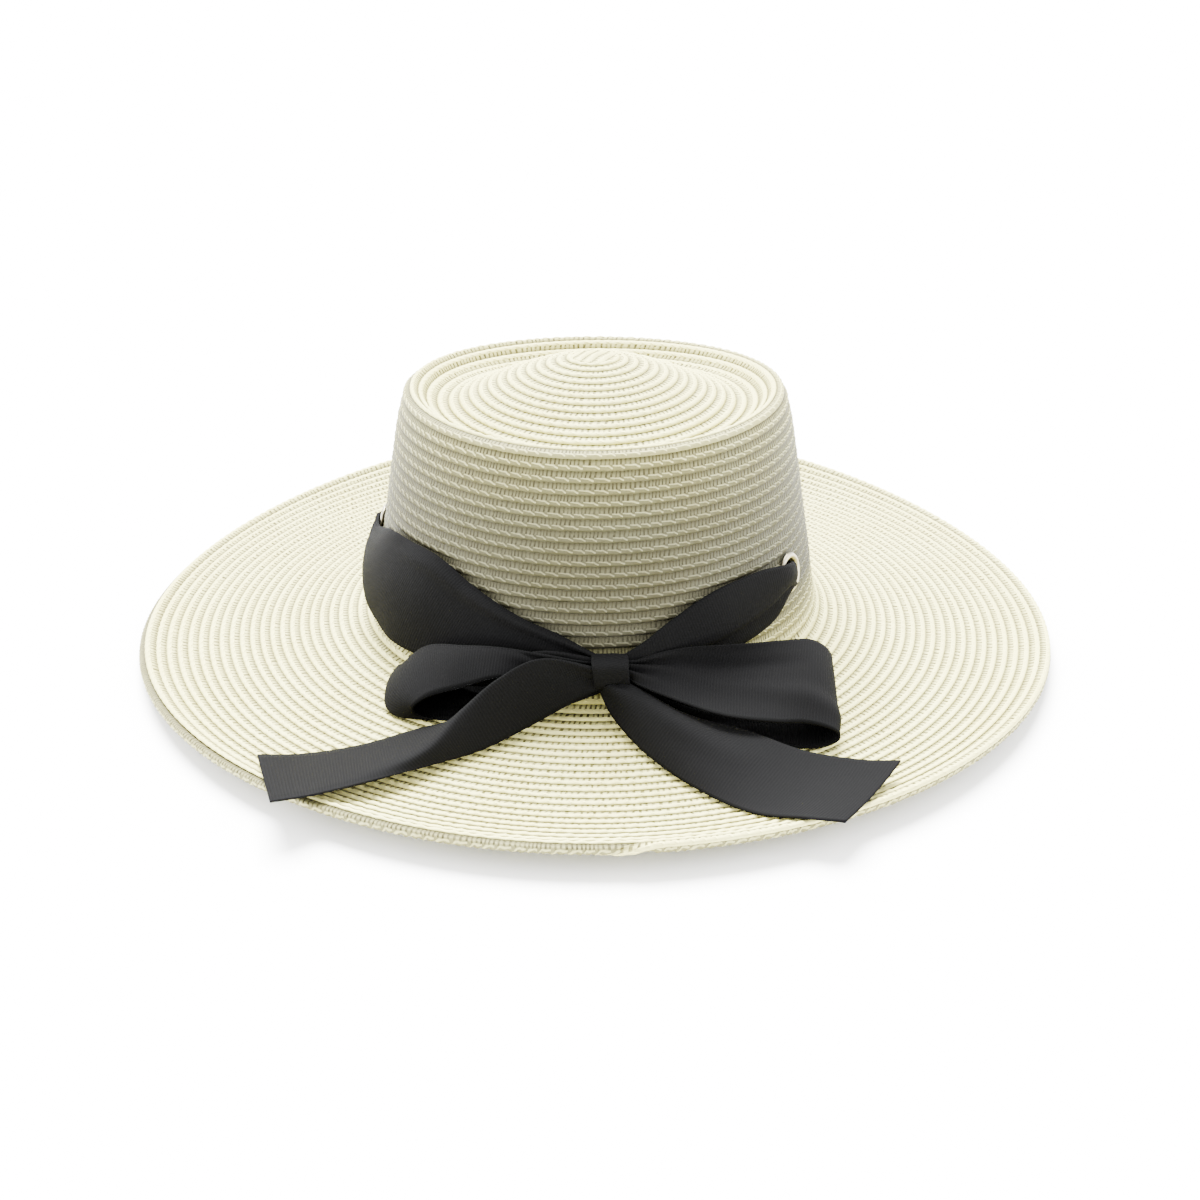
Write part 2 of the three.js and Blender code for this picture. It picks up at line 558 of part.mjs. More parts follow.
// Rounded block for the knot: an ellipsoid drawn out towards its box
function knotGeometry() {
  const bend = (value) => Math.sign(value) * Math.abs(value) ** KNOT_SQUARENESS;
  const points = [];
  const rings = [];
  for (let r = 0; r <= KNOT_RINGS; r += 1) {
    const polar = Math.PI * (r / KNOT_RINGS);
    const pole = r === 0 || r === KNOT_RINGS;
    const numbers = [];
    for (let s = 0; s < KNOT_SEGMENTS; s += 1) {
      const angle = (2 * Math.PI * s) / KNOT_SEGMENTS;
      if (!pole || s === 0) {
        points.push(new THREE.Vector3(
          pole ? 0 : bend(Math.sin(polar)) * bend(Math.cos(angle)),
          pole ? 0 : bend(Math.sin(polar)) * bend(Math.sin(angle)),
          bend(Math.cos(polar)),
        ).multiply(vec(KNOT_HALF_SIZE)).add(vec(KNOT_CENTRE)));
      }
      numbers.push(points.length - 1);
    }
    rings.push([...numbers, numbers[0]]);
  }
  return closedBody(points, gridTriangles(rings));
}

// Assembly
const hat = new THREE.Group();
hat.name = 'boater';

const COLOURS = { straw: 0xeae5c8, ribbon: 0x2b2b2d, metal: 0xd9d4c4 };

function addPart(name, geometry, colour, roughness, metalness) {
  const material = new THREE.MeshStandardMaterial({ color: colour, roughness, metalness });
  material.name = name;
  const mesh = new THREE.Mesh(geometry, material);
  mesh.name = name;
  hat.add(mesh);
}

const addStraw = (name, geometry) => addPart(name, geometry, COLOURS.straw, 0.8, 0);
const addRibbon = (name, geometry) => addPart(name, geometry, COLOURS.ribbon, 0.75, 0);
const addEyelet = (name, geometry) => addPart(name, geometry, COLOURS.metal, 0.35, 0.9);

const frames = {
  left: eyeletFrame(EYELET_BEARINGS.left),
  right: eyeletFrame(EYELET_BEARINGS.right),
};
const SOFT_COLUMNS = ['upper', 'middle', 'lower'];
const FOLD_COLUMNS = ['back', 'fold', 'front'];
const BOW_COLUMNS = ['far', 'middle', 'near'];

addStraw('crown', piercedCrown([frames.left, frames.right]));
addStraw('brim', brimGeometry());
addEyelet('eyelet_left', eyeletGeometry(frames.left));
addEyelet('eyelet_right', eyeletGeometry(frames.right));
addRibbon('ribbon_inside', ribbonGeometry(insideRows(frames), SOFT_COLUMNS, softSection, EVEN_SHARES));
addRibbon('ribbon_left', ribbonGeometry(
  [...softNeck(frames.left), ...STRAP_LEFT_ROWS], SOFT_COLUMNS, softSection, EVEN_SHARES,
));
addRibbon('ribbon_right', ribbonGeometry(
  [...foldedNeck(frames.right), ...STRAP_RIGHT_ROWS], FOLD_COLUMNS, foldedSection, FOLD_SHARES,
));
addRibbon('bow_loop_left', ribbonGeometry(LOOP_LEFT_ROWS, BOW_COLUMNS, softSection, EVEN_SHARES));
addRibbon('bow_loop_right', ribbonGeometry(LOOP_RIGHT_ROWS, BOW_COLUMNS, softSection, EVEN_SHARES));
addRibbon('bow_tail_left', ribbonGeometry(TAIL_LEFT_ROWS, BOW_COLUMNS, softSection, EVEN_SHARES));
addRibbon('bow_tail_right', ribbonGeometry(TAIL_RIGHT_ROWS, BOW_COLUMNS, softSection, EVEN_SHARES));
addRibbon('bow_knot', knotGeometry());

export default hat;
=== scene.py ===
"""Wide-brim straw boater with a ribbon bow: braid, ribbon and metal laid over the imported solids."""

import math

import bpy
import numpy as np
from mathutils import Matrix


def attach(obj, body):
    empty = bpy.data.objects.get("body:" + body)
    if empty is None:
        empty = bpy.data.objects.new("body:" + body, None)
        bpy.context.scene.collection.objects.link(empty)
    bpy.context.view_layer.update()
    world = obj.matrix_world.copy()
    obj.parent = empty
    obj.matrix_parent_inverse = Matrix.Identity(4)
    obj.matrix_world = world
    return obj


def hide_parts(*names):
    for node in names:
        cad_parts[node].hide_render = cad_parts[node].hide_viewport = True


bl_info = {
    "name": "Straw boater with ribbon bow",
    "version": (1, 0, 0),
    "blender": (4, 5, 0),
    "location": "View3D > Sidebar > Boater",
    "description": "Builds the sewn braid, the eyelets and the tied ribbon of a straw boater",
    "category": "Object",
}

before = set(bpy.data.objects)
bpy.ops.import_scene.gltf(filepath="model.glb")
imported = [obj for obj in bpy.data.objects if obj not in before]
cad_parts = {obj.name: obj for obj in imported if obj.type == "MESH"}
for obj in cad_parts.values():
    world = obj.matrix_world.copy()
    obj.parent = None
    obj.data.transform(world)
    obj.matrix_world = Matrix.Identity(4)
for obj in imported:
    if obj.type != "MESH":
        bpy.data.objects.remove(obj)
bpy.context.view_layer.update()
BODY = "root"
MM = 0.001
TINY = 1e-9

# Crown, from the tip down: half width, half length, height, share of the crest's waviness, in millimetres
CROWN_SET_BACK = 2.8
CROWN_ROWS = (
    (0.0, 0.0, 111.0, 0.0),
    (11.0, 11.5, 109.4, 0.05),
    (24.0, 25.0, 105.6, 0.25),
    (38.0, 40.0, 100.2, 0.55),
    (50.0, 53.0, 95.0, 0.85),
    (58.5, 62.0, 92.0, 1.0),
    (65.5, 69.0, 93.6, 1.0),
    (69.6, 73.4, 97.2, 1.0),
    (72.6, 76.6, 98.8, 1.0),
    (75.4, 79.6, 97.0, 1.0),
    (77.2, 81.0, 92.0, 0.8),
    (81.5, 84.2, 72.0, 0.4),
    (85.0, 87.5, 52.0, 0.1),
    (88.6, 90.8, 32.0, 0.0),
    (91.8, 93.8, 14.0, 0.0),
)
MOAT_ROW = 5
CREST_ROW = 9
BASE_ROW = 14
CREST_SADDLE = 1.4
CREST_TIP = 1.2
LINE_POINTS = 6000
LINE_SMALLEST = 0.05

# Brim, from the crown outwards and round the edge to the underside: reach, height before the edge is lifted
BRIM_REACH = 96.0
BRIM_HALF_WIDTH = 186.0
BRIM_HALF_LENGTH = 190.5
LIFT_START = 58.0
BRIM_ROWS = (
    (1.4, 9.6),
    (5.0, 6.6),
    (12.0, 5.0),
    (25.0, 3.4),
    (40.0, 2.4),
    (58.0, 2.4),
    (68.0, 2.45),
    (78.0, 2.6),
    (88.0, 2.8),
    (94.3, 2.9),
    (95.8, 2.2),
    (96.2, 0.9),
    (95.8, -0.4),
    (94.3, -1.1),
    (84.0, -0.6),
)
EDGE_HEIGHT = 7.7
EDGE_SADDLE = 4.1
EDGE_RIPPLE = 2.0
EDGE_MIDDLE = 0.9

# Section of one course of braid: place across in courses, height in millimetres, share of the bead's twist
BRAID_SECTION = (
    (-0.20, -1.15, 0.0),
    (0.05, -0.80, 0.0),
    (0.28, -0.62, 0.0),
    (0.48, -0.50, 0.1),
    (0.57, -0.06, 0.7),
    (0.70, 0.18, 1.0),
    (0.86, 0.06, 0.9),
    (1.03, -0.55, 0.4),
    (0.80, -1.30, 0.0),
    (0.10, -2.10, 0.0),
)
BRAID_START = 1.4
BRAID_FIRST_TURN = 0.85
BRAID_SINK = 0.4
BRAID_TWIST = -0.85
BRAID_TWIST_ASIDE = 0.035
BRAID_TURN_STEPS = 480
BRAID_TIP_TAPER = 9.0
BRAID_END_TAPER = 14.0
BRAID_THINNEST = 0.12
BRAID_END_PLACE = 0.4
BRAID_END_DEPTH = 0.9
BRAID_RELIEF_DEPTH = 0.9
# Unevenness of the loops along the braid: depth, rate per millimetre and start of each sine
BRAID_UNEVENNESS = ((0.5, 0.37, 0.0), (0.65, 0.113, 1.3), (0.9, 0.031, 0.0))
BRAID_SWELL = 0.3
BRAID_SWELL_RATES = (0.29, 0.071)
BRAID_SWAY = 2.0
# Boldness of the section, and a steepness weight by which the straw's pattern changes and painted shade
# darkens its colour, rising down the crown's side to its foot; both by row of the hat's line
BRAID_BOLDNESS = {MOAT_ROW: 0.85, CREST_ROW - 1: 0.85, BASE_ROW - 1: 0.75, BASE_ROW + 2: 0.75}
STEEP_SHADE_ROWS = {
    CREST_ROW - 2: 0.0, CREST_ROW - 1: 0.45, CREST_ROW + 1: 0.66, CREST_ROW + 2: 0.87, BASE_ROW - 1: 1.0,
    BASE_ROW + 1: 0.0,
}
# Stretches that the spiral is kept in, from the tip outwards, and where the brim's are parted
STRETCHES = (
    ("crown_tip_braid", "crown"),
    ("crown_side_braid_upper", "crown"),
    ("crown_side_braid_lower", "crown"),
    ("brim_braid_inner", "brim"),
    ("brim_braid_middle", "brim"),
    ("brim_braid_outer", "brim"),
)
BRIM_STRETCHES = (0.42, 0.74)

# Folded button at the tip: its strips and its grid
TIP_FOLD_RADIUS = 8.6
TIP_FOLD_TURN = math.radians(-25)
TIP_STRIP_WIDTH = 4.4
TIP_STRIP_START = 0.6
TIP_STRIP_EDGE = 0.06
TIP_STRIP_LENGTH = 31.0
TIP_SECTION = slice(1, 8)
TIP_ROUNDING = 6
TIP_HOLE = 0.01
TIP_RINGS = 30
TIP_TURNS = 96
TIP_LINE_POINTS = 400

# Edge of the brim and the round on its side: places in courses past its upper corner, lengths in millimetres
EDGE_CORNER_ROW = 24
EDGE_SEAM = math.radians(269.0)
EDGE_LAST_COURSE = -0.35
EDGE_DIVE = 1.5
EDGE_DIVE_LENGTH = 26.0
EDGE_LIP_LIFT = 0.5
EDGE_LIP_TURNS = (1.0, 0.8)
EDGE_SIDE_START = -0.30
EDGE_SIDE_WIDTH = 1.9
EDGE_SIDE_SEAM = 0.08
EDGE_SIDE_OVERLAP = 0.05
EDGE_SIDE_POINTS = 4000
# The edge's round takes half the steepness weight, so half the painted side shade
EDGE_SIDE_STEEP_SHADE = 0.5
EDGE_KNOB_LENGTH = 0.6
EDGE_KNOB_DEPTH = 1.3

# Eyelets: bearing is measured from the front towards +X
EYELET_HEIGHT = 37.0
EYELET_BEARINGS = {"left": -92.0, "right": 58.0}
EYELET_BORE = 5.5
EYELET_BARREL = 6.2
EYELET_FLANGE = 8.0
EYELET_LIP = 1.2
EYELET_STANDOFF = 0.8
EYELET_THROAT = EYELET_BARREL - 0.1
EYELET_CUT = EYELET_BARREL - 0.3
EYELET_CUT_DEPTH = 8.0
EYELET_SLOPE_SPAN = 10.0
EYELET_ROLL_POINTS = 9
EYELET_TURNS = 72
STRAW_THICKNESS = 2.4

# Neck of a strap through its eyelet: depth along the eyelet's axis outwards, aside round towards the back
NECK_ROWS = ((-5.4, 10.4), (-5.9, 5.0), (-3.2, 0.6), (0.0, 0.0), (3.2, -0.5))
NECK_HALF_HEIGHT = 4.7
NECK_BULGE = 1.3
NECK_LIFT = 0.4
FOLDED_NECK_EXTRA_DEPTH = 1.6
FOLDED_NECK_EXTRA_FROM = 1.0

# Ribbon across: the fold's gap, the share of a leg and of the round between, the crease and the selvedges
FOLD_HALF_GAP = 1.2
FOLD_LEG = 0.4
FOLD_ROUND = 0.2
FOLD_BOW = 0.9
CREASE_SOFTNESS = 0.2
SELVEDGE_SPREAD = 0.02
SELVEDGE_SWELL = 0.35
RIBBON_STEPS = 14

# Sections of the ribbon, three points each, in millimetres.
# Left strap: upper edge, middle, lower edge
STRAP_LEFT_ROWS = (
    ((-88.0, -9.0, 42.2), (-93.5, -9.0, 34.4), (-95.3, -11.0, 25.4)),
    ((-78.6, -36.8, 51.9), (-89.5, -31.0, 35.2), (-91.9, -31.5, 20.2)),
    ((-69.8, -51.0, 53.4), (-80.9, -50.5, 35.6), (-85.6, -45.0, 16.4)),
    ((-58.0, -64.4, 53.0), (-69.0, -65.4, 35.2), (-77.6, -58.6, 14.2)),
    ((-44.4, -75.8, 46.2), (-54.6, -76.0, 32.0), (-62.0, -73.0, 14.6)),
    ((-28.2, -84.8, 38.4), (-35.2, -86.5, 29.8), (-42.0, -85.4, 17.4)),
    ((-12.1, -90.4, 33.0), (-13.9, -93.2, 27.4), (-16.1, -93.6, 19.4)),
    ((2.4, -95.4, 26.8), (2.4, -96.0, 24.2), (2.4, -95.8, 20.2)),
)
# Right strap: back edge, fold, front edge
STRAP_RIGHT_ROWS = (
    ((75.4, -52.4, 32.6), (72.6, -54.2, 44.6), (74.0, -56.3, 36.4)),
    ((68.2, -61.2, 24.4), (60.8, -64.4, 46.2), (64.6, -66.8, 31.8)),
    ((53.4, -75.2, 20.6), (43.1, -77.9, 44.2), (49.4, -79.8, 27.2)),
    ((34.6, -86.2, 19.6), (27.4, -87.3, 37.0), (32.4, -89.4, 24.6)),
    ((20.4, -91.4, 18.4), (18.6, -91.4, 31.2), (19.4, -93.6, 21.6)),
    ((10.0, -94.0, 20.0), (10.0, -94.6, 26.8), (10.0, -95.6, 21.0)),
)
# Loops and tails: far edge, middle, near edge
LOOP_RIGHT_ROWS = (
    ((9.6, -97.4, 24.6), (9.6, -98.9, 25.0), (9.6, -100.6, 22.6)),
    ((29.0, -92.6, 28.6), (27.2, -97.8, 22.4), (26.4, -112.3, 20.0)),
    ((49.0, -89.7, 29.0), (46.4, -98.8, 20.0), (44.4, -121.5, 18.0)),
    ((68.5, -86.2, 28.9), (65.4, -100.4, 22.0), (62.7, -121.2, 15.0)),
    ((80.0, -82.8, 27.4), (77.6, -100.5, 22.4), (75.0, -118.6, 13.0)),
    ((86.8, -83.2, 22.6), (86.0, -101.2, 17.2), (84.8, -119.4, 10.2)),
    ((87.4, -82.6, 15.0), (86.8, -100.8, 10.6), (85.4, -119.8, 6.4)),
    ((81.0, -83.0, 6.4), (79.5, -101.0, 4.9), (77.0, -120.2, 3.9)),
    ((60.0, -88.0, 6.7), (60.5, -102.0, 5.2), (60.4, -117.4, 3.9)),
    ((38.0, -92.6, 10.6), (38.0, -101.6, 6.8), (38.0, -111.5, 5.2)),
    ((9.6, -97.4, 18.4), (9.6, -98.9, 18.0), (9.6, -100.6, 18.2)),
)
LOOP_LEFT_ROWS = (
    ((2.8, -97.4, 24.4), (2.8, -98.7, 25.0), (2.8, -100.0, 22.6)),
    ((-19.0, -96.4, 27.5), (-18.2, -98.2, 28.6), (-16.7, -100.6, 17.6)),
    ((-33.0, -92.4, 15.0), (-32.4, -93.0, 29.2), (-33.7, -103.5, 22.6)),
    ((-48.5, -87.0, 11.0), (-47.2, -89.0, 28.2), (-47.8, -103.8, 18.8)),
    ((-66.0, -70.6, 9.2), (-61.9, -80.6, 23.2), (-58.6, -103.6, 15.6)),
    ((-73.0, -67.4, 8.8), (-72.0, -86.0, 15.0), (-64.2, -103.8, 12.2)),
    ((-75.0, -66.4, 7.8), (-77.0, -89.4, 7.6), (-65.4, -102.4, 8.8)),
    ((-69.5, -65.6, 7.2), (-74.2, -92.4, 3.8), (-62.4, -100.6, 5.4)),
    ((-52.0, -79.4, 11.0), (-52.0, -94.6, 6.0), (-52.5, -102.0, 5.0)),
    ((-25.0, -92.8, 14.4), (-24.5, -99.0, 9.0), (-24.0, -102.6, 8.4)),
    ((2.8, -97.4, 18.4), (2.8, -98.7, 18.0), (2.8, -100.0, 18.2)),
)
TAIL_LEFT_ROWS = (
    ((2.8, -100.6, 19.6), (2.8, -102.0, 24.6), (2.8, -101.4, 18.0)),
    ((-16.6, -102.8, 20.6), (-18.2, -104.2, 30.6), (-9.4, -106.4, 13.4)),
    ((-33.5, -106.8, 15.0), (-33.2, -110.1, 26.0), (-20.8, -111.2, 8.8)),
    ((-48.5, -106.6, 7.8), (-45.4, -118.0, 18.2), (-38.0, -122.0, 4.8)),
    ((-65.0, -108.5, 4.1), (-57.9, -132.6, 11.4), (-53.0, -132.4, 5.4)),
    ((-82.4, -118.1, 3.7), (-76.4, -147.0, 10.6), (-75.2, -153.7, 11.0)),
    ((-101.0, -125.5, 4.6), (-91.8, -160.4, 13.5), (-90.1, -166.8, 14.7)),
    ((-114.9, -135.6, 10.4), (-104.2, -168.4, 16.1), (-102.2, -174.4, 17.0)),
)
TAIL_RIGHT_ROWS = (
    ((12.6, -99.0, 17.8), (7.4, -104.4, 20.8), (1.0, -100.4, 16.6)),
    ((24.0, -103.6, 12.6), (15.4, -110.0, 18.4), (6.4, -107.8, 9.0)),
    ((38.0, -114.0, 11.8), (27.0, -123.0, 15.0), (18.4, -126.2, 4.8)),
    ((54.0, -120.4, 10.7), (42.8, -136.4, 11.0), (34.4, -146.4, 3.8)),
    ((72.0, -132.9, 10.4), (62.3, -148.4, 8.2), (51.4, -164.3, 6.2)),
    ((89.7, -141.3, 12.0), (79.5, -159.4, 10.8), (66.7, -177.5, 13.0)),
    ((102.4, -146.1, 14.6), (91.0, -163.6, 13.4), (79.0, -180.0, 13.2)),
)

# Band inside the crown: its inset from the wall, and how its ends are gathered beside the eyelets
INSIDE_INSET = 3.7
INSIDE_END_INSET = 5.0
INSIDE_END_HALF_WIDTH = 5.0
INSIDE_START_ASIDE = {"left": 12.0, "right": 13.0}
INSIDE_SECTIONS = 13
INSIDE_GATHER = 0.2
INSIDE_MARGIN = 1.0

# Pleats: end of the ribbon, count across, depth, reach and start of the wave
STRAP_LEFT_PLEATS = (("start", 4, 2.0, 18.0, 0.0), ("end", 3, 1.2, 18.0, 0.6))
INSIDE_PLEATS = (("start", 3, 0.6, 16.0, 0.0), ("end", 3, 0.6, 16.0, 0.0))
LOOP_LEFT_PLEATS = (("start", 4, 1.8, 22.0, 0.8), ("end", 4, 2.5, 36.0, 0.8))
LOOP_RIGHT_PLEATS = (("start", 3, 1.3, 15.0, 0.8), ("end", 4, 2.0, 30.0, 0.8))
TAIL_PLEATS = (("start", 2, 0.8, 16.0, 0.4),)
# Ridges: first and last distance along, first and last share across, spread and depth
STRAP_LEFT_RIDGES = ((70.0, 150.0, 0.12, 0.12, 0.06, -1.6), (110.0, 178.0, 0.10, 0.20, 0.08, -2.4))
LOOP_RIGHT_RIDGES = ((4.0, 100.0, 0.48, 0.86, 0.11, -1.4), (2.0, 70.0, 0.28, 0.36, 0.09, 1.3))
TAIL_RIGHT_RIDGES = ((0.0, 62.0, 0.5, 0.42, 0.16, -1.8),)

# Knot: place across and size of its sections from left to right, and the tuck at its lower corner
KNOT_ROWS = (
    (-5.2, 0.02), (-5.7, 0.5), (-6.2, 0.8), (-6.5, 0.93), (-6.2, 1.0), (-5.0, 1.01), (-3.6, 1.0),
    (-2.2, 0.99), (-0.8, 1.0), (0.6, 1.02), (2.0, 1.02), (3.4, 1.0), (4.8, 1.0), (6.0, 1.0),
    (6.4, 0.93), (6.1, 0.8), (5.6, 0.5), (5.1, 0.02),
)
KNOT_CENTRE = (6.2, -98.5, 22.9)
KNOT_HALF_DEPTH = 5.9
KNOT_HALF_HEIGHT = 5.6
KNOT_SQUARENESS = 0.62
KNOT_TURNS = 64
KNOT_TUCK_DEPTH = 0.42
KNOT_TUCK_PLACE = 3.2
KNOT_TUCK_WIDTH = 2.2
KNOT_TUCK_TURN = 5.62
KNOT_TUCK_SPREAD = 0.34
KNOT_LEAN = 0.9
KNOT_LEAN_FROM = 0.9
KNOT_GIRTH_RADIUS = 6.6
KNOT_WINDING = 0.35
KNOT_ACROSS = (0.03, 0.97)

# Straw's pattern: noise scales per metre; broad tone, drift of the strands and patches in this order
STRAW_ROUGH_SCALE = 900.0
STRAW_ROUGH_DETAIL = 3.0
STRAW_NOISE_SCALES = (45.0, 160.0, 320.0)
# Straw's fades, each from nought to one: the first four by place or distance across a course, in courses
STRAW_BEAD_FADE = (0.49, 0.57)
STRAW_GAP_FADE = (0.50, 0.64)
STRAW_LINE_FADE = (0.10, 0.42)
STRAW_LOOP_FADE = (0.03, 0.10)
STRAW_LOOP_TURN = (0.55, 1.0)
STRAW_GAP_WAVE = (-0.15, 0.75)
STRAW_PATCH_FADE = (0.35, 0.6)
# Painted shade: lower parts of the section darken by this fade of how far they stand up
STRAW_RELIEF_SHADE_FADE = (0.0, 0.6)
STRAW_TONE_FADE = (0.3, 0.7)
# Straw's steps: gain and base
STRAW_TEETH = (0.4, 0.6)
STRAW_PATCHES = (0.4, 0.6)
STRAW_LOOP_CREST = (0.24, 0.57)
# Painted shade below the bead's loops, most where the hat is upright; on the flat partly the chain's pattern,
# partly painted highlight on the loops
STRAW_BODY_SHADE = (0.56, 0.20)
# Painted shade in the lower parts of the section
STRAW_RELIEF_SHADE = (0.3, 0.7)
# Painted shade: the gaps and the groove take the slot colour
STRAW_HOLLOW_SHADE = (-0.92, 1.0)
# Painted shade: the comb is darker than the bead, most where the hat is upright
STRAW_COMB_SHADE = (-0.38, 0.80)
STRAW_ROUGHNESS = (0.25, 0.5)
# Straw's other values: gaps in a loop's length on the flat and on the side, and shares; the bump is in metres
STRAW_GAPS_PER_LOOP = (2, 3)
STRAW_GAP_DRIFT = 5.0
STRAW_GAP_LEAN = 1.6
STRAW_UPRIGHT_GAIN = 1.8
STRAW_SIDE_REACH = 0.8
STRAW_LOOP_DRIFT = 0.3
STRAW_GRAIN = 0.2
STRAW_GAP_DEPTH = 0.9
STRAW_BODY_DEPTH = 0.55
STRAW_SPECULAR = 0.1
STRAW_BUMP = 0.0005
STRAW_BUMP_STRENGTH = 0.8
STRAW_DULL_TONE = (0.97, 0.95, 0.90, 1.0)
WHITE = (1.0, 1.0, 1.0, 1.0)

# Ribbon's and eyelets' looks: noise scales per metre, fades, gains and bases; the bumps are in metres
RIBBON_NOISE_SCALES = (2600.0, 60.0)
RIBBON_SELVEDGE_FADE = (0.015, 0.035)
RIBBON_SHADE_FADE = (0.1, 1.0)
RIBBON_GRAIN = 0.3
RIBBON_TONES = (0.72, 1.35)
RIBBON_ROUGHNESS = (0.2, 0.75)
RIBBON_SPECULAR = 0.03
RIBBON_BUMP = 0.0002
RIBBON_BUMP_STRENGTH = 0.35
SCUFF_SCALE = 700.0
SCUFF_DETAIL = 4.0
SCUFF_FADE = (0.35, 0.65)
SCUFF_TONE = 0.82
SCUFF_ROUGHNESS = (0.25, 0.2)
SCUFF_BUMP = 0.00005
SCUFF_BUMP_STRENGTH = 0.3

# Camera: its target and distance in millimetres, its rise in degrees, its sensor in millimetres
CAMERA_TARGET = (2.04, 1.76, 3.12)
CAMERA_DISTANCE = 635.5
CAMERA_RISE = 25.66
CAMERA_SENSOR = 36.0
CAMERA_CLIP = 0.01

# Floor and lamp in metres; surrounding light by the cosine to a direction and by a power of the side share
FLOOR_HALF = 20.0
FLOOR_ROUGHNESS = 0.9
OVERHEAD_HEIGHT = 1.5
OVERHEAD_SPREAD = math.radians(40)
OVERHEAD_TURN = (math.radians(-31), math.radians(-7), 0.0)
SKY_DIRECTION = (0.0, 0.35, 0.94)
SKY_RANGE = (-0.4, 1.0)
SKY_SIDE_POWER = 2.0


def length_property(name, description, default, low, high):
    """A length in metres."""
    return bpy.props.FloatProperty(
        name=name, description=description, default=default, min=low, max=high, unit="LENGTH",
    )


def colour_property(name, description, default):
    """A linear colour."""
    return bpy.props.FloatVectorProperty(
        name=name, description=description, subtype="COLOR", default=default, min=0.0, max=1.0,
    )


def strength_property(name, description, default):
    """The strength of a light."""
    return bpy.props.FloatProperty(name=name, description=description, default=default, min=0.0)


class BoaterBraid(bpy.types.PropertyGroup):
    """Sizes and colours of the sewn braid."""

    pitch_tip: length_property(
        "Course width on the tip", "Step from course to course near the tip", 0.0043, 0.003, 0.009,
    )
    pitch_side: length_property(
        "Course width on the side", "Step from course to course down the crown's side", 0.0044, 0.003, 0.009,
    )
    pitch_brim: length_property(
        "Course width on the brim", "Step from course to course over the brim", 0.00405, 0.003, 0.009,
    )
    loop_length: length_property(
        "Loop length", "Length of one rope loop along the bead of a course", 0.0046, 0.002, 0.01,
    )
    loop_depth: length_property(
        "Loop depth", "How far the loops of the bead stand in and out", 0.00018, 0.0, 0.001,
    )
    step: length_property(
        "Step along the braid", "Distance between sections along the braid", 0.0009, 0.0005, 0.005,
    )
    light: colour_property("Straw", "Colour of the raised paper strands", (0.63, 0.605, 0.25))
    # Slots: a dark colour for the gaps between strands and the groove beside each bead, painted shade
    slot: colour_property("Straw in the slots", "Colour between the strands", (0.026, 0.0215, 0.0006))
    # Darker, greyer copies of the straw's colours for the steep crown side: painted shade, mixed in by the
    # steepness weight
    shaded_side_straw: colour_property(
        "Straw on the side", "Colour of the raised strands where the hat is steep", (0.082, 0.081, 0.056),
    )
    side_slot_shade: colour_property(
        "Slots on the side", "Colour between the strands where the hat is steep", (0.020, 0.0185, 0.0095),
    )


class BoaterRibbon(bpy.types.PropertyGroup):
    """Sizes and colours of the ribbon and the eyelets."""

    width: length_property("Ribbon width", "Width of the ribbon laid flat", 0.040, 0.01, 0.08)
    thickness: length_property("Ribbon thickness", "Thickness of the ribbon cloth", 0.0005, 0.0002, 0.002)
    rib: length_property(
        "Rib pitch", "Distance between the ribs that run across the ribbon", 0.0011, 0.0004, 0.004,
    )
    colour: colour_property("Ribbon", "Colour of the ribbon cloth", (0.0024, 0.0024, 0.0025))
    metal: colour_property("Eyelet metal", "Colour of the eyelets", (0.25, 0.225, 0.155))


class BoaterStage(bpy.types.PropertyGroup):
    """Floor, light and lens."""

    floor: colour_property("Floor", "Colour of the floor", (0.90, 0.90, 0.90))
    overhead: strength_property("Overhead light", "Strength of the wide overhead light", 48.0)
    sky_front: strength_property("Light from the front", "Surrounding light from below and in front", 1.0)
    sky_back: strength_property("Light from above", "Surrounding light from above and behind", 2.2)
    sky_sides: strength_property("Light from the sides", "Surrounding light added towards both sides", 16.0)
    lens: bpy.props.FloatProperty(
        name="Lens", description="Focal length of the camera", default=44.72, min=10.0, unit="CAMERA",
    )


def smooth_step(value, low, high):
    """Nought below low, one above high, a cubic between."""
    gone = np.clip((value - low) / (high - low), 0, 1)
    return gone * gone * (3 - 2 * gone)


def bell(away, spread):
    """One at no distance, falling away as a bell curve."""
    return np.exp(-((away / spread) ** 2))


def unit(vectors):
    """Vectors of length one."""
    return vectors / np.maximum(np.linalg.norm(vectors, axis=-1, keepdims=True), TINY)


def distance_along(points):
    """Distance gone from point to point."""
    return np.concatenate(([0.0], np.cumsum(np.linalg.norm(np.diff(points, axis=0), axis=1))))


def full_turn(count):
    """Angles of a full turn in equal steps."""
    return np.linspace(0, 2 * math.pi, count, endpoint=False)


def smooth_rows(rows, count):
    """Cubic Hermite curve through the rows over their chord length, each slope taken from its neighbours."""
    size = (rows[:, 0] + rows[:, 1]) / 2
    chord = np.concatenate(([0.0], np.cumsum(np.hypot(np.diff(size), np.diff(rows[:, 3])))))
    slope = np.gradient(rows, chord, axis=0)
    at = np.linspace(0.0, chord[-1], count)
    k = np.clip(np.searchsorted(chord, at, side="right") - 1, 0, len(rows) - 2)
    span = (chord[k + 1] - chord[k])[:, None]
    t = (at - chord[k])[:, None] / span
    first = (1 + 2 * t) * (1 - t) ** 2 * rows[k] + t * (1 - t) ** 2 * span * slope[k]
    last = t * t * (3 - 2 * t) * rows[k + 1] + t * t * (t - 1) * span * slope[k + 1]
    return first + last, chord


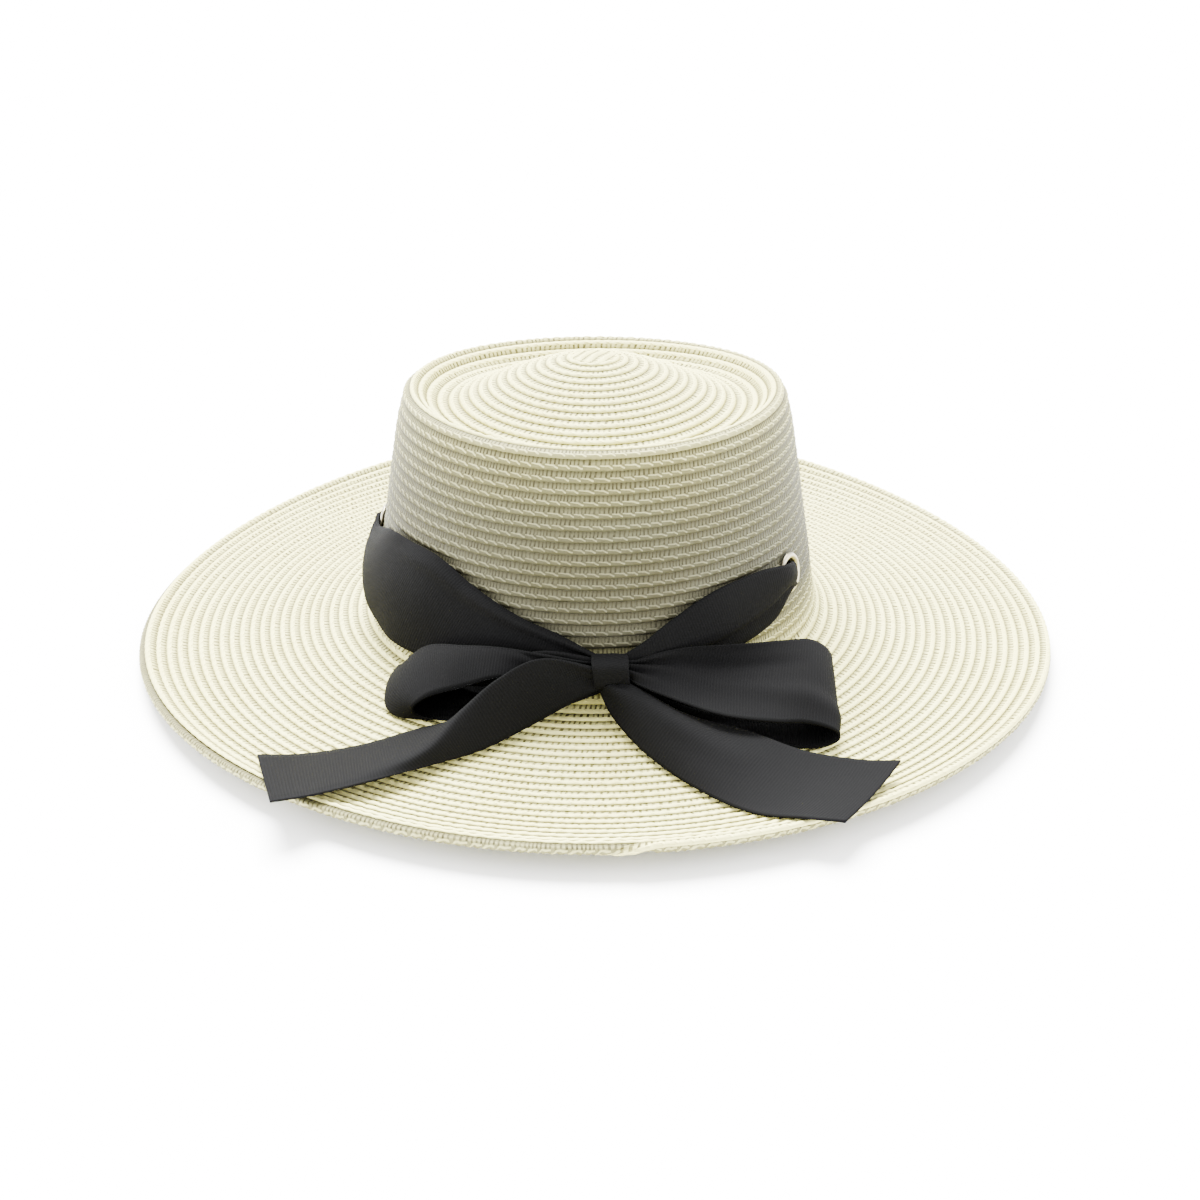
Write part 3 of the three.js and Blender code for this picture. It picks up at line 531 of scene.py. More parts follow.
def hat_line(pitch_tip, pitch_side, pitch_brim):
    """The hat's line from the tip, down the side, over the brim and round its edge.

    Columns are half width, half length, centre, height, crest share and edge lift. Courses are counted
    along it: the count grows by the distance gone divided by the course width, which goes smoothly from
    the tip's to the side's over the moat and to the brim's over its foot. Returns the columns, their
    slopes per course, the counts and the counts at the table's rows.
    """
    crown = [(a, b, CROWN_SET_BACK, z, crest, 0.0) for a, b, z, crest in CROWN_ROWS]
    base = CROWN_ROWS[BASE_ROW]
    brim = []
    for reach, height in BRIM_ROWS:
        share = reach / BRIM_REACH
        lift = max(0.0, (reach - LIFT_START) / (BRIM_REACH - LIFT_START)) ** 2
        half_width = base[0] + (BRIM_HALF_WIDTH - base[0]) * share
        half_length = base[1] + (BRIM_HALF_LENGTH - base[1]) * share
        brim.append((half_width, half_length, CROWN_SET_BACK * (1 - share), height, 0.0, lift))
    line, rows_at = smooth_rows(np.array(crown + brim), LINE_POINTS)
    line[:, :2] = np.maximum(line[:, :2], LINE_SMALLEST)
    gone = np.linspace(0.0, rows_at[-1], LINE_POINTS)
    on_side = smooth_step(gone, rows_at[MOAT_ROW], rows_at[CREST_ROW])
    on_brim = smooth_step(gone, rows_at[BASE_ROW - 1], rows_at[BASE_ROW + 2])
    pitch = pitch_tip + (pitch_side - pitch_tip) * on_side + (pitch_brim - pitch_side) * on_brim
    per_step = np.diff(gone) / ((pitch[1:] + pitch[:-1]) / 2)
    courses = np.concatenate(([0.0], np.cumsum(per_step)))
    slopes = np.gradient(line, courses, axis=0)
    return {"line": line, "slopes": slopes, "courses": courses, "rows": np.interp(rows_at, gone, courses)}


def on_hat(hat, angle, course):
    """Place and outward normal on the hat at an angle round from +X and a count of courses.

    The place is an oval at the line's half sizes and centre, raised by the crest's saddle and tilt and
    by the edge's saddle and ripple, each by its share; the normal is the cross product of the two slopes.
    """
    at, slope = (
        [np.interp(course, hat["courses"], column) for column in hat[key].T] for key in ("line", "slopes")
    )
    cos, sin = np.cos(angle), np.sin(angle)
    crest = CREST_SADDLE * np.cos(2 * angle) - CREST_TIP * sin
    crest_turn = -2 * CREST_SADDLE * np.sin(2 * angle) - CREST_TIP * cos
    edge = EDGE_HEIGHT - EDGE_SADDLE * np.cos(2 * angle) - EDGE_RIPPLE * np.sin(3 * angle) - EDGE_MIDDLE
    edge_turn = 2 * EDGE_SADDLE * np.sin(2 * angle) - 3 * EDGE_RIPPLE * np.cos(3 * angle)
    place = np.stack((at[0] * cos, at[2] + at[1] * sin, at[3] + at[4] * crest + at[5] * edge), -1)
    fall = slope[3] + slope[4] * crest + slope[5] * edge
    down = np.stack((slope[0] * cos, slope[2] + slope[1] * sin, fall), -1)
    around = np.stack((-at[0] * sin, at[1] * cos, at[4] * crest_turn + at[5] * edge_turn), -1)
    return place, unit(np.cross(down, around))


def signed_volume(points, quads):
    """Six times the volume inside the faces: the sum of the triple products of their triangles."""
    a, b, c, d = (points[quads[:, k]] for k in range(4))
    return np.sum(a * np.cross(b, c)) + np.sum(a * np.cross(c, d))


def add_piece(name, points, quads, values, material):
    """Puts a grid of points in millimetres, with four-cornered faces, into a smooth mesh on the hat's body.

    Each point value is spread over the grid.
    """
    flat = points.reshape(-1, 3)
    if signed_volume(flat - flat.mean(0), quads) < 0:
        quads = quads[:, ::-1]
    mesh = bpy.data.meshes.new(name)
    mesh.vertices.add(len(flat))
    mesh.vertices.foreach_set("co", (flat * MM).astype(np.float32).ravel())
    mesh.loops.add(quads.size)
    mesh.loops.foreach_set("vertex_index", quads.astype(np.int32).ravel())
    mesh.polygons.add(len(quads))
    mesh.polygons.foreach_set("loop_start", np.arange(0, quads.size, 4, dtype=np.int32))
    mesh.update(calc_edges=True)
    mesh.shade_smooth()
    for key, column in values.items():
        layer = mesh.attributes.new(key, "FLOAT", "POINT")
        layer.data.foreach_set("value", np.broadcast_to(column, points.shape[:2]).astype(np.float32).ravel())
    if mesh.validate():
        raise RuntimeError(f"{name} has faces that Blender had to mend")
    piece = bpy.data.objects.new(name, mesh)
    bpy.context.scene.collection.objects.link(piece)
    piece.data.materials.append(material)
    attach(piece, BODY)
    return piece


def grid_quads(rows, columns):
    """Faces over a grid of points numbered row by row, with the last column joined to the first."""
    i = np.arange(rows - 1)[:, None]
    j = np.arange(columns)
    after = (j + 1) % columns
    corners = (i * columns + j, (i + 1) * columns + j, (i + 1) * columns + after, i * columns + after)
    return np.stack(corners, -1).reshape(-1, 4)


def run_length(hat, angle, course):
    """Distance gone along a run over the hat."""
    return distance_along(on_hat(hat, angle, course)[0])


def braid_path(hat, end, step):
    """Spiral run of the braid in equal steps: a first turn round the tip, then one course for each turn.

    The end runs down over the brim's edge as a smooth step of the distance left.
    """
    turns = np.arange(0.0, end - BRAID_START + BRAID_FIRST_TURN, 1 / BRAID_TURN_STEPS)
    course = BRAID_START + np.maximum(turns - BRAID_FIRST_TURN, 0.0)
    angle = EDGE_SEAM + 2 * math.pi * (turns[-1] - turns)
    length = run_length(hat, angle, course + 0.5)
    along = np.arange(0.0, length[-1], step)
    turns = np.interp(along, length, turns)
    dive = EDGE_DIVE * smooth_step(along, along[-1] - EDGE_DIVE_LENGTH, along[-1])
    lip = EDGE_LIP_LIFT * smooth_step(turns, *(turns[-1] - before for before in EDGE_LIP_TURNS))
    return {
        "along": along,
        "angle": np.interp(along, length, angle),
        "course": np.interp(along, length, course) + dive,
        "width": 1.0,
        "lift": lip - BRAID_SINK * np.clip(1 - turns, 0, 1),
        "tapers": (BRAID_TIP_TAPER, BRAID_END_TAPER),
    }


def edge_path(hat, first, step):
    """One turn of braid round the side of the brim's edge, at a fixed count of courses."""
    angle = EDGE_SEAM + EDGE_SIDE_SEAM + np.linspace(0.0, 2 * math.pi + EDGE_SIDE_OVERLAP, EDGE_SIDE_POINTS)
    length = run_length(hat, angle, np.full_like(angle, first + 0.5 * EDGE_SIDE_WIDTH))
    along = np.arange(0.0, length[-1], step)
    return {
        "along": along,
        "angle": np.interp(along, length, angle),
        "course": np.full_like(along, first),
        "width": EDGE_SIDE_WIDTH,
        "lift": np.zeros_like(along),
        "tapers": (BRAID_TIP_TAPER, BRAID_TIP_TAPER),
    }


def uneven(along):
    """Distance along the braid, gaining and losing a little as hand-fed braid does: a sum of sines."""
    return along + sum(depth * np.sin(rate * along + turn) for depth, rate, turn in BRAID_UNEVENNESS)


def braid_points(hat, run, sizes):
    """Braid: its section is carried along a run, lying on the hat a given number of courses on.

    The bead takes a rope twist: a cosine of the distance along less a share of the place across moves it
    in and out, and a sine moves it along the hat's line. How bold the section is changes from the tip over
    the side to the brim, and both ends shrink to a point.
    """
    across, height, twist = np.array(BRAID_SECTION).T[:, None, :]
    along = run["along"]
    phase = 2 * math.pi * ((uneven(along) / sizes["loop"])[:, None] - BRAID_TWIST * across)
    swell_rate, sway_rate = BRAID_SWELL_RATES
    swell = 1 + BRAID_SWELL * np.sin(swell_rate * along + BRAID_SWAY * np.sin(sway_rate * along))[:, None]
    angle = run["angle"][:, None] + np.zeros_like(across)
    ends = np.minimum(along / run["tapers"][0], (along[-1] - along) / run["tapers"][1])
    taper = np.clip(ends, BRAID_THINNEST, 1.0)[:, None]
    shift = across * taper + (1 - taper) * BRAID_END_PLACE + BRAID_TWIST_ASIDE * twist * np.sin(phase)
    bold = np.interp(run["course"], hat["rows"][list(BRAID_BOLDNESS)], list(BRAID_BOLDNESS.values()))[:, None]
    raised = height * bold * taper - BRAID_END_DEPTH * (1 - taper) + run["lift"][:, None]
    raised = raised + sizes["depth"] * twist * swell * np.cos(phase)
    place, normal = on_hat(hat, angle, run["course"][:, None] + run["width"] * shift)
    return place + raised[..., None] * normal


def strip_quads(rows, columns):
    """Faces of a strip: the closed grid of its sections, and the section at each end closed across."""
    k = np.arange(columns // 2 - 1)
    cap = np.stack((k, k + 1, columns - 2 - k, columns - 1 - k), -1)
    far_cap = (cap + (rows - 1) * columns)[:, ::-1]
    return np.concatenate((grid_quads(rows, columns), cap, far_cap))


def tip_fold(hat, radius):
    """Folded start of the braid: a round button whose strips lie side by side across it.

    Its top is the hat's tip, raised by the braid's section taken at the distance across the strips. The
    rows of points run from the middle out over the top and back to the middle below.
    """
    section = np.array(BRAID_SECTION[TIP_SECTION])
    ring = np.linspace(TIP_HOLE, 1.0, TIP_RINGS)[:, None]
    turn = full_turn(TIP_TURNS)
    x, y = radius * ring * np.cos(turn), radius * ring * np.sin(turn)
    top = np.interp(np.hypot(x, y), hat["line"][:TIP_LINE_POINTS, 0], hat["line"][:TIP_LINE_POINTS, 3])
    cos, sin = math.cos(TIP_FOLD_TURN), math.sin(TIP_FOLD_TURN)
    strip = (x * cos + y * sin) / TIP_STRIP_WIDTH + TIP_STRIP_START
    across = TIP_STRIP_EDGE + strip - np.floor(strip)
    along = y * cos - x * sin + TIP_STRIP_LENGTH * np.floor(strip)
    height = np.interp(across, section[:, 0], section[:, 1])
    upper = np.stack((x, CROWN_SET_BACK + y, top + height * (1 - ring**TIP_ROUNDING)), -1)
    lower = np.stack((x, CROWN_SET_BACK + y, top - STRAW_THICKNESS), -1)[::-1]
    values = {
        "along": np.concatenate((along, along[::-1])),
        "across": np.concatenate((across, across[::-1])),
        "relief": np.concatenate((braid_relief(height), np.zeros_like(height))),
        "steep": 0.0,
    }
    return np.concatenate((upper, lower)), values


def braid_relief(height):
    """How far a point of the braid's section stands up, from nought in the slots to one on the bead."""
    return np.clip(height + BRAID_RELIEF_DEPTH, 0, 1)


def braid_strip(name, points, along, steep, material, node):
    """Adds a stretch of braid as a piece that stands for a node.

    Its point values are the uneven distance along, the place across in courses, how far it stands up, and a
    steepness weight there, which sets the side pattern and how much painted shade the straw's colour takes.
    """
    section = np.array(BRAID_SECTION)
    values = {
        "along": uneven(along)[:, None],
        "across": section[:, 0],
        "relief": braid_relief(section[:, 1]),
        "steep": steep[:, None],
    }
    quads = clear_of_eyelets(points.reshape(-1, 3), strip_quads(*points.shape[:2]))
    piece = add_piece(name, points, quads, values, material)
    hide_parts(node)


def eyelet_frame(side):
    """Place and directions of an eyelet: outwards, round towards the back, and up the wall.

    The place is where the bearing meets the oval at the eyelet's height; outwards is the oval's normal
    leaned up by the wall's slope.
    """
    turn = math.radians(EYELET_BEARINGS[side])
    rows = np.array(CROWN_ROWS)[CREST_ROW:][::-1]
    size = [np.interp(EYELET_HEIGHT, rows[:, 2], rows[:, k]) for k in (0, 1)]
    across, along = math.sin(turn), -math.cos(turn)
    reach = 1 / math.hypot(across / size[0], along / size[1])
    place = np.array((across * reach, CROWN_SET_BACK + along * reach, EYELET_HEIGHT))
    span = (EYELET_HEIGHT - EYELET_SLOPE_SPAN, EYELET_HEIGHT + EYELET_SLOPE_SPAN)
    low, high = np.interp(span, rows[:, 2], rows[:, 0])
    axis = unit(np.array((across / size[0], along / size[1], 0.0)))
    axis[2] = (low - high) / (2 * EYELET_SLOPE_SPAN)
    axis = unit(axis)
    back = unit(np.array((-axis[1], axis[0], 0.0)) * math.copysign(1, across))
    up = np.cross(axis, back)
    up *= math.copysign(1, up[2])
    return {"place": place, "axis": axis, "back": back, "up": up, "size": size}


def clear_of_eyelets(points, quads):
    """Keeps the faces whose middle is outside the barrel of both eyelets."""
    middle = points[quads].mean(1)
    keep = np.ones(len(quads), bool)
    for side in EYELET_BEARINGS:
        eyelet = eyelet_frame(side)
        away = middle - eyelet["place"]
        depth = away @ eyelet["axis"]
        radius = np.linalg.norm(away - depth[:, None] * eyelet["axis"], axis=1)
        keep &= (radius > EYELET_CUT) | (np.abs(depth) > EYELET_CUT_DEPTH)
    return quads[keep]


def catmull_rom(rows, at):
    """Uniform Catmull-Rom curve: cubic spans through rows, with half the neighbours' chord as slopes."""
    flat = rows.reshape(len(rows), -1)
    padded = np.concatenate((2 * flat[:1] - flat[1:2], flat, 2 * flat[-1:] - flat[-2:-1]))
    k = np.clip(np.floor(at).astype(int), 0, len(rows) - 2)
    t = (at - k)[:, None]
    before, start, end, after = (padded[k + n] for n in range(4))
    cubic = (2 * t**3 - 3 * t**2 + 1) * start + (t**3 - 2 * t**2 + t) * (end - before) / 2
    cubic += (-2 * t**3 + 3 * t**2) * end + (t**3 - t**2) * (after - start) / 2
    return cubic.reshape(len(at), *rows.shape[1:])


def soft_section(edges, share):
    """Parabola through one edge, the middle and the other edge of the ribbon."""
    first, middle, last = (edges[:, None, k] for k in range(3))
    w = share[None, :, None]
    return first * (1 - w) * (1 - 2 * w) + middle * 4 * w * (1 - w) + last * w * (2 * w - 1)


def creased_section(edges, share):
    """Two straight legs from edge to crease to edge, joined by a hyperbola at the crease."""
    first, middle, last = (edges[:, None, k] for k in range(3))
    t = 2 * share[None, :, None] - 1
    away = np.sqrt(t * t + CREASE_SOFTNESS**2) - CREASE_SOFTNESS
    away /= math.sqrt(1 + CREASE_SOFTNESS**2) - CREASE_SOFTNESS
    return middle + t * (last - first) / 2 + away * ((first + last) / 2 - middle)


def folded_section(edges, share):
    """Ribbon folded along its length: a straight back leg and a bowed front leg, joined by a half round."""
    back, fold, front = (edges[:, None, k] for k in range(3))
    up = unit(fold - (back + front) / 2)
    out = (fold - np.array((0.0, CROWN_SET_BACK, 0.0))) * np.array((1.0, 1.0, 0.0))
    out = unit(out - np.sum(out * up, axis=-1, keepdims=True) * up)
    pivot = fold - FOLD_HALF_GAP * up
    w = share[None, :, None]
    front_share = np.clip((1 - w) / FOLD_LEG, 0, 1)
    back_leg = back + (pivot - FOLD_HALF_GAP * out - back) * np.clip(w / FOLD_LEG, 0, 1)
    front_leg = front + (pivot + FOLD_HALF_GAP * out - front) * front_share
    front_leg = front_leg + FOLD_BOW * np.sin(math.pi * front_share) * out
    turn = math.pi * np.clip((w - FOLD_LEG) / FOLD_ROUND, 0, 1)
    bend = pivot + FOLD_HALF_GAP * (np.sin(turn) * up - np.cos(turn) * out)
    return np.where(w < FOLD_LEG, back_leg, np.where(w > 1 - FOLD_LEG, front_leg, bend))


def ribbon_surface(rows, section, share, pleats, ridges):
    """Middle surface of a ribbon: its sections follow a smooth curve from row to row.

    Each pleat set adds a cosine across the ribbon along its normal, with a depth that falls away from one
    end as a bell curve of the distance. Each ridge adds a bell curve across, whose middle moves from one
    share to another between two distances along and whose depth is half a sine wave between them.
    """
    at = np.linspace(0, len(rows) - 1, (len(rows) - 1) * RIBBON_STEPS + 1)
    surface = section(catmull_rom(rows, at), share)
    along = distance_along(surface[:, len(share) // 2])
    normal = surface_normal(surface)
    for end, count, depth, reach, turn in pleats:
        away = along if end == "start" else along[-1] - along
        wave = np.cos(2 * math.pi * count * share + turn)
        surface = surface + ((depth * bell(away, reach))[:, None] * wave)[..., None] * normal
    for first, last, start, finish, spread, depth in ridges:
        gone = np.clip((along - first) / (last - first), 0, 1)[:, None]
        ridge = bell(share - start - (finish - start) * gone, spread)
        surface = surface + (depth * np.sin(math.pi * gone) * ridge)[..., None] * normal
    return surface, along


def surface_normal(surface):
    """Unit cross product of the surface's two slopes."""
    return unit(np.cross(np.gradient(surface, axis=0), np.gradient(surface, axis=1)))


def ribbon_piece(node, rows, style, pleats=(), ridges=()):
    """Closed ribbon: its middle surface moved half a thickness to each side, a little more at the selvedges.

    It stands for a node, whose part is hidden.
    """
    section, share = style
    ribbon = bpy.context.scene.boater_ribbon
    material = shared_material("ribbed_ribbon", ribbon_material, ribbon)
    surface, along = ribbon_surface(np.array(rows, float), section, share, pleats, ridges)
    edge = bell(np.minimum(share, 1 - share), SELVEDGE_SPREAD)
    half = ribbon.thickness / MM / 2 * (1 + SELVEDGE_SWELL * edge)
    offset = half[:, None] * surface_normal(surface)
    ring = np.concatenate((surface + offset, (surface - offset)[:, ::-1]), axis=1)
    values = {"along": along[:, None], "across": np.concatenate((share, share[::-1]))}
    piece = add_piece(f"{node}_cloth", ring, strip_quads(*ring.shape[:2]), values, material)
    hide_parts(node)


# Ways to shape a ribbon across, each with the shares of its width that have points
EVEN_SHARE = np.linspace(0, 1, 29)
FOLD_SHARE = np.concatenate([np.linspace(*ends) for ends in ((0, 0.4, 10), (0.42, 0.58, 9), (0.6, 1, 10))])
SOFT = (soft_section, EVEN_SHARE)
CREASED = (creased_section, FOLD_SHARE)
FOLDED = (folded_section, FOLD_SHARE)


def strap_neck(side, folded):
    """Sections of a strap's neck through its eyelet, from the inside out."""
    eyelet = eyelet_frame(side)
    rows = []
    for depth, aside in NECK_ROWS:
        extra = FOLDED_NECK_EXTRA_DEPTH if folded and aside > FOLDED_NECK_EXTRA_FROM else 0.0
        at = eyelet["place"] + (depth - extra) * eyelet["axis"] + aside * eyelet["back"]
        top = at + NECK_HALF_HEIGHT * eyelet["up"]
        foot = at - NECK_HALF_HEIGHT * eyelet["up"]
        if folded:
            rows.append((foot + FOLD_HALF_GAP * eyelet["back"], top, foot - FOLD_HALF_GAP * eyelet["back"]))
        else:
            rows.append((top, at - NECK_BULGE * eyelet["back"] + NECK_LIFT * eyelet["axis"], foot))
    return rows


def inside_rows(width):
    """Sections of the band inside the crown, round the back from eyelet to eyelet, gathered at both ends."""
    frames = {side: eyelet_frame(side) for side in EYELET_BEARINGS}
    size = frames["left"]["size"]
    lean = frames["left"]["up"]
    lean_out = math.hypot(lean[0], lean[1]) / lean[2]
    turn = {}
    for side, eyelet in frames.items():
        place = eyelet["place"] + INSIDE_START_ASIDE[side] * eyelet["back"]
        turn[side] = math.atan2((place[1] - CROWN_SET_BACK) / size[1], place[0] / size[0])
    finish = turn["left"] + (2 * math.pi if turn["left"] < turn["right"] else 0)
    rows = []
    for share in np.linspace(0, 1, INSIDE_SECTIONS):
        angle = turn["right"] + (finish - turn["right"]) * share
        spread = smooth_step(min(share, 1 - share), 0.0, INSIDE_GATHER)
        inset = INSIDE_END_INSET + (INSIDE_INSET - INSIDE_END_INSET) * spread
        half = INSIDE_END_HALF_WIDTH + (width / 2 - INSIDE_MARGIN - INSIDE_END_HALF_WIDTH) * spread
        row = []
        for rise in (half, 0.0, -half):
            pull = inset + rise * lean_out
            x = (size[0] - pull) * math.cos(angle)
            y = CROWN_SET_BACK + (size[1] - pull) * math.sin(angle)
            row.append((x, y, EYELET_HEIGHT + rise))
        rows.append(row)
    return rows


class NodeSheet:
    """The node tree of a new material or world, and short calls that add nodes to it and join them."""

    def __init__(self, owner, shader="Principled BSDF"):
        owner.use_nodes = True
        self.owner = owner
        self.tree = owner.node_tree
        self.shader = self.tree.nodes[shader]

    def node(self, kind, inputs=(), **settings):
        """Adds a node, sets its settings, and fills or joins its inputs."""
        made = self.tree.nodes.new(kind)
        for key, value in settings.items():
            setattr(made, key, value)
        for key, value in dict(inputs).items():
            self.join(made.inputs[key], value)
        return made

    def join(self, socket, value):
        """Joins an output to a socket, or sets the socket's own value."""
        if isinstance(value, bpy.types.NodeSocket):
            self.tree.links.new(value, socket)
        else:
            socket.default_value = value

    def paint(self, name, value):
        """Joins or sets an input of the shader."""
        self.join(self.shader.inputs[name], value)

    def math(self, operation, *values):
        """One arithmetic step."""
        return self.node("ShaderNodeMath", dict(enumerate(values)), operation=operation).outputs[0]

    def times(self, first, second):
        """Product of two values."""
        return self.math("MULTIPLY", first, second)

    def scaled(self, value, gain, base):
        """A value times a gain, plus a base."""
        return self.math("MULTIPLY_ADD", value, gain, base)

    def rest(self, value):
        """One less a value."""
        return self.math("SUBTRACT", 1.0, value)

    def value(self, name):
        """A point value of the mesh."""
        return self.node("ShaderNodeAttribute", attribute_name=name).outputs["Fac"]

    def fade(self, value, low, high):
        """Nought below low, one above high, smooth between."""
        inputs = {0: value, 1: low, 2: high, 3: 0.0, 4: 1.0}
        return self.node("ShaderNodeMapRange", inputs, interpolation_type="SMOOTHSTEP").outputs[0]

    def noise(self, vector, scale, detail=2.0):
        """Soft noise about one half."""
        inputs = {"Vector": vector, "Scale": scale, "Detail": detail}
        return self.node("ShaderNodeTexNoise", inputs).outputs[0]

    def mix(self, share, first, second, blend="MIX"):
        """Mix of two colours."""
        inputs = {0: share, 6: first, 7: second}
        return self.node("ShaderNodeMix", inputs, data_type="RGBA", blend_type=blend).outputs[2]

    def place(self):
        """The piece's own coordinates in metres."""
        return self.node("ShaderNodeTexCoord").outputs["Object"]

    def bump(self, height, distance, strength):
        """Joins a height to the shader's normal."""
        made = self.node("ShaderNodeBump", {"Height": height, "Distance": distance, "Strength": strength})
        self.paint("Normal", made.outputs[0])


def rgba(colour):
    """A colour with full cover."""
    return (*colour, 1.0)


def straw_material(braid):
    """Paper braid: a comb of strands with gaps between, and a bead with a chain of loops along it.

    Gaps follow a sine of the distance along, and are deepest beside the bead before them, in a toothed line;
    gaps and line take the dark slot colour as painted shade, and low parts of the section are darkened as
    painted shade.
    A loop lies along the bead's crest for half of its length and then runs down over it. Where the hat is
    steep, the gaps are closer and longer, and painted shade darkens the bead below its loops and the comb and
    swaps in darker, greyer colours. The pattern changes sooner than the colours.
    """
    sheet = NodeSheet(bpy.data.materials.new("sewn_straw_braid"))
    along, across, relief, steep = (sheet.value(name) for name in ("along", "across", "relief", "steep"))
    # How upright the hat is, reached sooner than the colours' mix: it sets the side pattern and the painted
    # shade on bead and comb
    upright_and_shade = sheet.math("MINIMUM", sheet.times(steep, STRAW_UPRIGHT_GAIN), 1.0)
    place = sheet.place()
    rough = sheet.noise(place, STRAW_ROUGH_SCALE, STRAW_ROUGH_DETAIL)
    broad, drift, patchy = (sheet.noise(place, scale) for scale in STRAW_NOISE_SCALES)
    bead = sheet.fade(across, *STRAW_BEAD_FADE)
    turns = sheet.math("DIVIDE", along, -braid.loop_length / MM)
    lean = sheet.scaled(drift, STRAW_GAP_DRIFT, sheet.times(across, STRAW_GAP_LEAN))
    rates = (2 * math.pi * count for count in STRAW_GAPS_PER_LOOP)
    wide, fine = (sheet.math("SINE", sheet.scaled(turns, rate, lean)) for rate in rates)
    wave = sheet.scaled(sheet.math("SUBTRACT", fine, wide), upright_and_shade, wide)
    gap = sheet.fade(wave, *STRAW_GAP_WAVE)
    teeth = sheet.scaled(gap, *STRAW_TEETH)
    near = sheet.rest(sheet.fade(across, *STRAW_GAP_FADE))
    reach = sheet.math("MAXIMUM", near, sheet.times(upright_and_shade, STRAW_SIDE_REACH))
    gap = sheet.times(gap, sheet.scaled(sheet.fade(patchy, *STRAW_PATCH_FADE), *STRAW_PATCHES))
    gaps = sheet.times(sheet.times(gap, reach), sheet.rest(bead))
    # Painted shade: a dark toothed line in the groove beside the bead before it
    line = sheet.times(sheet.rest(sheet.fade(across, *STRAW_LINE_FADE)), teeth)
    # Gaps and groove: they take the slot colour as painted shade, and are dented in the bump
    shaded_hollow = sheet.math("MAXIMUM", gaps, line)
    in_loop = sheet.math("FRACT", sheet.scaled(drift, STRAW_LOOP_DRIFT, turns))
    crest = sheet.scaled(sheet.fade(in_loop, *STRAW_LOOP_TURN), *STRAW_LOOP_CREST)
    off_crest = sheet.math("ABSOLUTE", sheet.math("SUBTRACT", across, crest))
    loops = sheet.rest(sheet.fade(off_crest, *STRAW_LOOP_FADE))
    plain = sheet.times(bead, sheet.rest(loops))
    # Bead below its loops darker: painted shade on the upright side; on the flat partly the chain's pattern
    # and partly painted highlight on the loops
    body = sheet.times(plain, sheet.scaled(upright_and_shade, *STRAW_BODY_SHADE))
    # Painted shade: the colour darkens where the section lies low
    depth = sheet.scaled(sheet.fade(relief, *STRAW_RELIEF_SHADE_FADE), *STRAW_RELIEF_SHADE)
    shade = sheet.times(depth, sheet.scaled(shaded_hollow, *STRAW_HOLLOW_SHADE))
    shade = sheet.times(shade, sheet.rest(body))
    # Painted shade: the comb below the bead is darker, most on the upright side
    shade = sheet.times(shade, sheet.math("MAXIMUM", bead, sheet.scaled(upright_and_shade, *STRAW_COMB_SHADE)))
    shade = sheet.scaled(rough, STRAW_GRAIN, sheet.math("SUBTRACT", shade, STRAW_GRAIN / 2))
    # Darker, greyer copies of the colours mixed in by steepness: painted shade on the crown's side
    slots = sheet.mix(steep, rgba(braid.slot), rgba(braid.side_slot_shade))
    strands = sheet.mix(steep, rgba(braid.light), rgba(braid.shaded_side_straw))
    tone = sheet.mix(sheet.fade(broad, *STRAW_TONE_FADE), STRAW_DULL_TONE, WHITE)
    sheet.paint("Base Color", sheet.mix(1.0, sheet.mix(shade, slots, strands), tone, "MULTIPLY"))
    sheet.paint("Roughness", sheet.scaled(rough, *STRAW_ROUGHNESS))
    sheet.paint("Specular IOR Level", STRAW_SPECULAR)
    height = sheet.scaled(rough, STRAW_GRAIN, sheet.times(shaded_hollow, -STRAW_GAP_DEPTH))
    height = sheet.math("SUBTRACT", height, sheet.times(plain, STRAW_BODY_DEPTH))
    sheet.bump(height, STRAW_BUMP, STRAW_BUMP_STRENGTH)
    return sheet.owner


def ribbon_material(ribbon):
    """Grosgrain: even ribs across the ribbon, plain narrow selvedges, and a faint unevenness of tone."""
    sheet = NodeSheet(bpy.data.materials.new("ribbed_ribbon"))
    along, across = sheet.value("along"), sheet.value("across")
    place = sheet.place()
    fine, broad = (sheet.noise(place, scale) for scale in RIBBON_NOISE_SCALES)
    rib = sheet.scaled(sheet.math("SINE", sheet.times(along, 2 * math.pi / (ribbon.rib / MM))), 0.5, 0.5)
    edge = sheet.math("MINIMUM", across, sheet.rest(across))
    ribs = sheet.times(rib, sheet.fade(edge, *RIBBON_SELVEDGE_FADE))
    shade = sheet.scaled(ribs, RIBBON_GRAIN, sheet.times(fine, RIBBON_GRAIN))
    shade = sheet.math("ADD", shade, sheet.times(broad, RIBBON_GRAIN))
    dark, pale = (rgba([gain * x for x in ribbon.colour]) for gain in RIBBON_TONES)
    sheet.paint("Base Color", sheet.mix(sheet.fade(shade, *RIBBON_SHADE_FADE), dark, pale))
    sheet.paint("Roughness", sheet.scaled(fine, *RIBBON_ROUGHNESS))
    sheet.paint("Specular IOR Level", RIBBON_SPECULAR)
    sheet.bump(sheet.scaled(fine, RIBBON_GRAIN, ribs), RIBBON_BUMP, RIBBON_BUMP_STRENGTH)
    return sheet.owner


def eyelet_material(ribbon):
    """Satin metal, a little scuffed."""
    sheet = NodeSheet(bpy.data.materials.new("satin_eyelet"))
    scuff = sheet.noise(sheet.place(), SCUFF_SCALE, SCUFF_DETAIL)
    dull = rgba([SCUFF_TONE * x for x in ribbon.metal])
    sheet.paint("Base Color", sheet.mix(sheet.fade(scuff, *SCUFF_FADE), dull, rgba(ribbon.metal)))
    sheet.paint("Metallic", 1.0)
    sheet.paint("Roughness", sheet.scaled(scuff, *SCUFF_ROUGHNESS))
    sheet.bump(scuff, SCUFF_BUMP, SCUFF_BUMP_STRENGTH)
    return sheet.owner


def shared_material(name, make, group):
    """The material of that name, made once."""
    return bpy.data.materials.get(name) or make(group)


